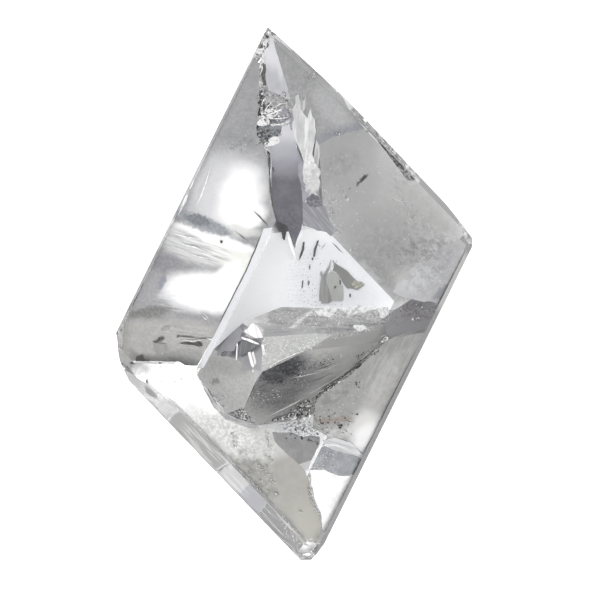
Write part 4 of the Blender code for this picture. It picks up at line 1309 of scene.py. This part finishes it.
def thread_group(name, threads, tone, shine=0.0):
    """One piece of some threads."""
    group = bmesh.new()
    for seed, (on, width, points) in enumerate(threads, 1):
        add_film(group, strip(points, width), on, THREAD_LIFT, THREAD_NICKS, seed)
    new_piece(name, group, [crack_quartz(name, tuple(tone), darker(tone), "crumbly", shine=shine)])


def grain_group(name, zones, tone, shine=0.0):
    """One piece of the grains of some zones."""
    group = bmesh.new()
    for seed, (on, count, size, outline) in enumerate(zones, 1):
        lift = BEVEL_GRAIN_LIFT if on.endswith("bevel") else GRAIN_LIFT
        scatter(group, outline, on, lift, count, size, seed)
    new_piece(name, group, [crack_quartz(name, tuple(tone), darker(tone), "cloudy", shine=shine)])


def in_levels(rows, wanted=True):
    """The rows whose first value names a level of flat cracks, or the others."""
    return [row for row in rows if (row[0] in LEVELS) == wanted]


class QUARTZ_OT_crown(bpy.types.Operator):
    """Makes the broken, crumbly crack under the upper point, with its painted sheen, light and shadow"""

    bl_idname = "quartz.crown"
    bl_label = "Crown crack"

    def execute(self, context):
        return film_groups(CROWN)


class QUARTZ_OT_heart(bpy.types.Operator):
    """Makes the dark lobe, the flame-shaped crack beside it, their slivers and painted gleams"""

    bl_idname = "quartz.heart"
    bl_label = "Lobe and flame"

    def execute(self, context):
        return film_groups(HEART)


class QUARTZ_OT_islands(bpy.types.Operator):
    """Makes the flaws on the right, and the small islands over the resting facet"""

    bl_idname = "quartz.islands"
    bl_label = "Islands"

    def execute(self, context):
        return film_groups(ISLANDS)


class QUARTZ_OT_west(bpy.types.Operator):
    """Makes the large mirror sheet on the left, its painted highlights, its slivers and a strip of painted
    light
    """

    bl_idname = "quartz.west"
    bl_label = "Left flaws"

    def execute(self, context):
        return film_groups(WEST)


class QUARTZ_OT_south(bpy.types.Operator):
    """Makes the healed cracks around and below the inner crystal"""

    bl_idname = "quartz.south"
    bl_label = "Lower flaws"

    def execute(self, context):
        return film_groups(SOUTH)


class QUARTZ_OT_skin(bpy.types.Operator):
    """Makes the films and shards that cover the inner crystal's faces, with their painted shade and gleams"""

    bl_idname = "quartz.skin"
    bl_label = "Inner crystal's skin"

    def execute(self, context):
        return film_groups(SKIN)


class QUARTZ_OT_threads(bpy.types.Operator):
    """Makes the fine bright and dark lines"""

    bl_idname = "quartz.threads"
    bl_label = "Threads"

    def execute(self, context):
        sizes = context.scene.flaw_sizes
        thread_group("pale_threads", in_levels(PALE_THREADS, False), sizes.pale_thread)
        thread_group("bright_threads", in_levels(PALE_THREADS), sizes.bright_thread, 1.0)
        thread_group("dark_threads", DARK_THREADS, sizes.dark_thread)
        return {"FINISHED"}


class QUARTZ_OT_grains(bpy.types.Operator):
    """Makes the scattered white and dark grains"""

    bl_idname = "quartz.grains"
    bl_label = "Grains"

    def execute(self, context):
        sizes = context.scene.flaw_sizes
        grain_group("white_grains", in_levels(WHITE_GRAINS, False), sizes.white_grain)
        grain_group("bright_grains", in_levels(WHITE_GRAINS), sizes.bright_grain, 1.0)
        grain_group("dark_grains", DARK_GRAINS, sizes.dark_grain)
        return {"FINISHED"}


# ---- Stage ----

FLOOR_HALF = 3.0
FLOOR_DROP = 0.3 * MM
SENSOR_WIDTH = 36.0
VIEW_MIDDLE = (0.725 * MM, -0.857 * MM)
FIELD_HEIGHT = 16 * MM
VIEW_END = 10.0
LAMP_AIM = (0, 0, 8 * MM)
# For each lamp: its compass turn and height in degrees, its size and its distance in metres.
OVERHEAD_LAMP = (100.0, 60.0, 0.4, 0.8)
SIDE_LAMP = (-26.0, 6.0, 0.3, 0.6)
# The sky grows brighter between these heights, from 0 at the sides to 1 overhead.
SKY_RISE = (0.45, 0.9)
# The lens hides a round patch of the sky, between these angles from straight up.
LENS_SHADE = (math.radians(8.0), math.radians(13.0))
BOUNCES = 32


def make_floor(studio):
    """A sheet of matt paper, lit a little from below, just under the stone."""
    material, tree, shader = new_material("matt_paper")
    fill(tree, shader, Base_Color=(*studio.floor, 1), Roughness=1.0)
    fill(tree, shader, Emission_Color=(1, 1, 1, 1), Emission_Strength=studio.floor_glow)
    bm = bmesh.new()
    bmesh.ops.create_grid(bm, x_segments=1, y_segments=1, size=FLOOR_HALF)
    bmesh.ops.translate(bm, verts=bm.verts, vec=(0, 0, -FLOOR_DROP))
    place("floor", new_mesh("floor", bm, [material]))


def make_sky(studio):
    """A white tent, brighter overhead, with the dark patch of the lens in it."""
    world = bpy.data.worlds.new("studio")
    bpy.context.scene.world = world
    world.use_nodes = True
    tree = world.node_tree
    coords = add_node(tree, "ShaderNodeTexCoord").outputs["Generated"]
    height = add_node(tree, "ShaderNodeSeparateXYZ", Vector=coords).outputs["Z"]
    sky = threshold(tree, height, *SKY_RISE, studio.zenith, studio.horizon)
    inner, outer = LENS_SHADE
    shade = threshold(tree, height, math.cos(outer), math.cos(inner), studio.lens_shade, 1.0)
    fill(tree, tree.nodes["Background"], Color=(1, 1, 1, 1), Strength=times(tree, sky, shade))


def make_lamp(name, radiance, turn, height, size, distance):
    """A square softbox at a compass turn and a height in degrees, aimed at the stone."""
    light = bpy.data.lights.new(name, "AREA")
    light.shape = "SQUARE"
    light.size = size
    light.energy = radiance * math.pi * size * size
    lamp = place(name, light)
    aim = direction(turn, height)
    lamp.location = Vector(LAMP_AIM) + aim * distance
    lamp.rotation_euler = aim.to_track_quat("Z", "Y").to_euler()


def make_camera(studio):
    """Straight above the stone, looking down."""
    lens = bpy.data.cameras.new("camera")
    lens.lens = studio.focal_length
    lens.sensor_width = SENSOR_WIDTH
    lens.clip_end = VIEW_END
    camera = place("camera", lens)
    distance = studio.field / SENSOR_WIDTH * studio.focal_length
    camera.location = (*VIEW_MIDDLE, FIELD_HEIGHT + distance)
    bpy.context.scene.camera = camera


class QUARTZ_OT_stage(bpy.types.Operator):
    """Makes the floor, the lights and the camera"""

    bl_idname = "quartz.stage"
    bl_label = "Stage"

    def execute(self, context):
        scene = context.scene
        studio = scene.studio_light
        make_floor(studio)
        make_sky(studio)
        make_lamp("overhead", studio.overhead, *OVERHEAD_LAMP)
        make_lamp("side", studio.side, *SIDE_LAMP)
        make_camera(studio)
        scene.view_settings.view_transform = "Standard"
        for kind in ("max_bounces", "transmission_bounces", "glossy_bounces", "transparent_max_bounces"):
            setattr(scene.cycles, kind, BOUNCES)
        return {"FINISHED"}


GROUPS = {"stone_finish": StoneFinishAndShade, "flaw_sizes": FlawSizes, "studio_light": StudioLight}
OPERATORS = (
    QUARTZ_OT_host,
    QUARTZ_OT_inner,
    QUARTZ_OT_crown,
    QUARTZ_OT_heart,
    QUARTZ_OT_islands,
    QUARTZ_OT_west,
    QUARTZ_OT_south,
    QUARTZ_OT_skin,
    QUARTZ_OT_threads,
    QUARTZ_OT_grains,
    QUARTZ_OT_stage,
)


class QUARTZ_PT_stone(bpy.types.Panel):
    """The steps that make the stone, and its sizes and colours"""

    bl_idname = "QUARTZ_PT_stone"
    bl_label = "Crackle Quartz"
    bl_space_type = "VIEW_3D"
    bl_region_type = "UI"
    bl_category = "Quartz"

    def draw(self, context):
        for operator in OPERATORS:
            self.layout.operator(operator.bl_idname)
        for name, group in GROUPS.items():
            box = self.layout.box()
            for key in group.__annotations__:
                box.prop(getattr(context.scene, name), key)


CLASSES = (*GROUPS.values(), *OPERATORS, QUARTZ_PT_stone)


def register():
    for cls in CLASSES:
        bpy.utils.register_class(cls)
    for name, group in GROUPS.items():
        setattr(bpy.types.Scene, name, PointerProperty(type=group))


def unregister():
    for name in GROUPS:
        delattr(bpy.types.Scene, name)
    for cls in reversed(CLASSES):
        bpy.utils.unregister_class(cls)


def main():
    register()
    bpy.ops.quartz.host()
    bpy.ops.quartz.inner()
    bpy.ops.quartz.crown()
    bpy.ops.quartz.heart()
    bpy.ops.quartz.islands()
    bpy.ops.quartz.west()
    bpy.ops.quartz.south()
    bpy.ops.quartz.skin()
    bpy.ops.quartz.threads()
    bpy.ops.quartz.grains()
    bpy.ops.quartz.stage()


if __name__ == "__main__":
    main()
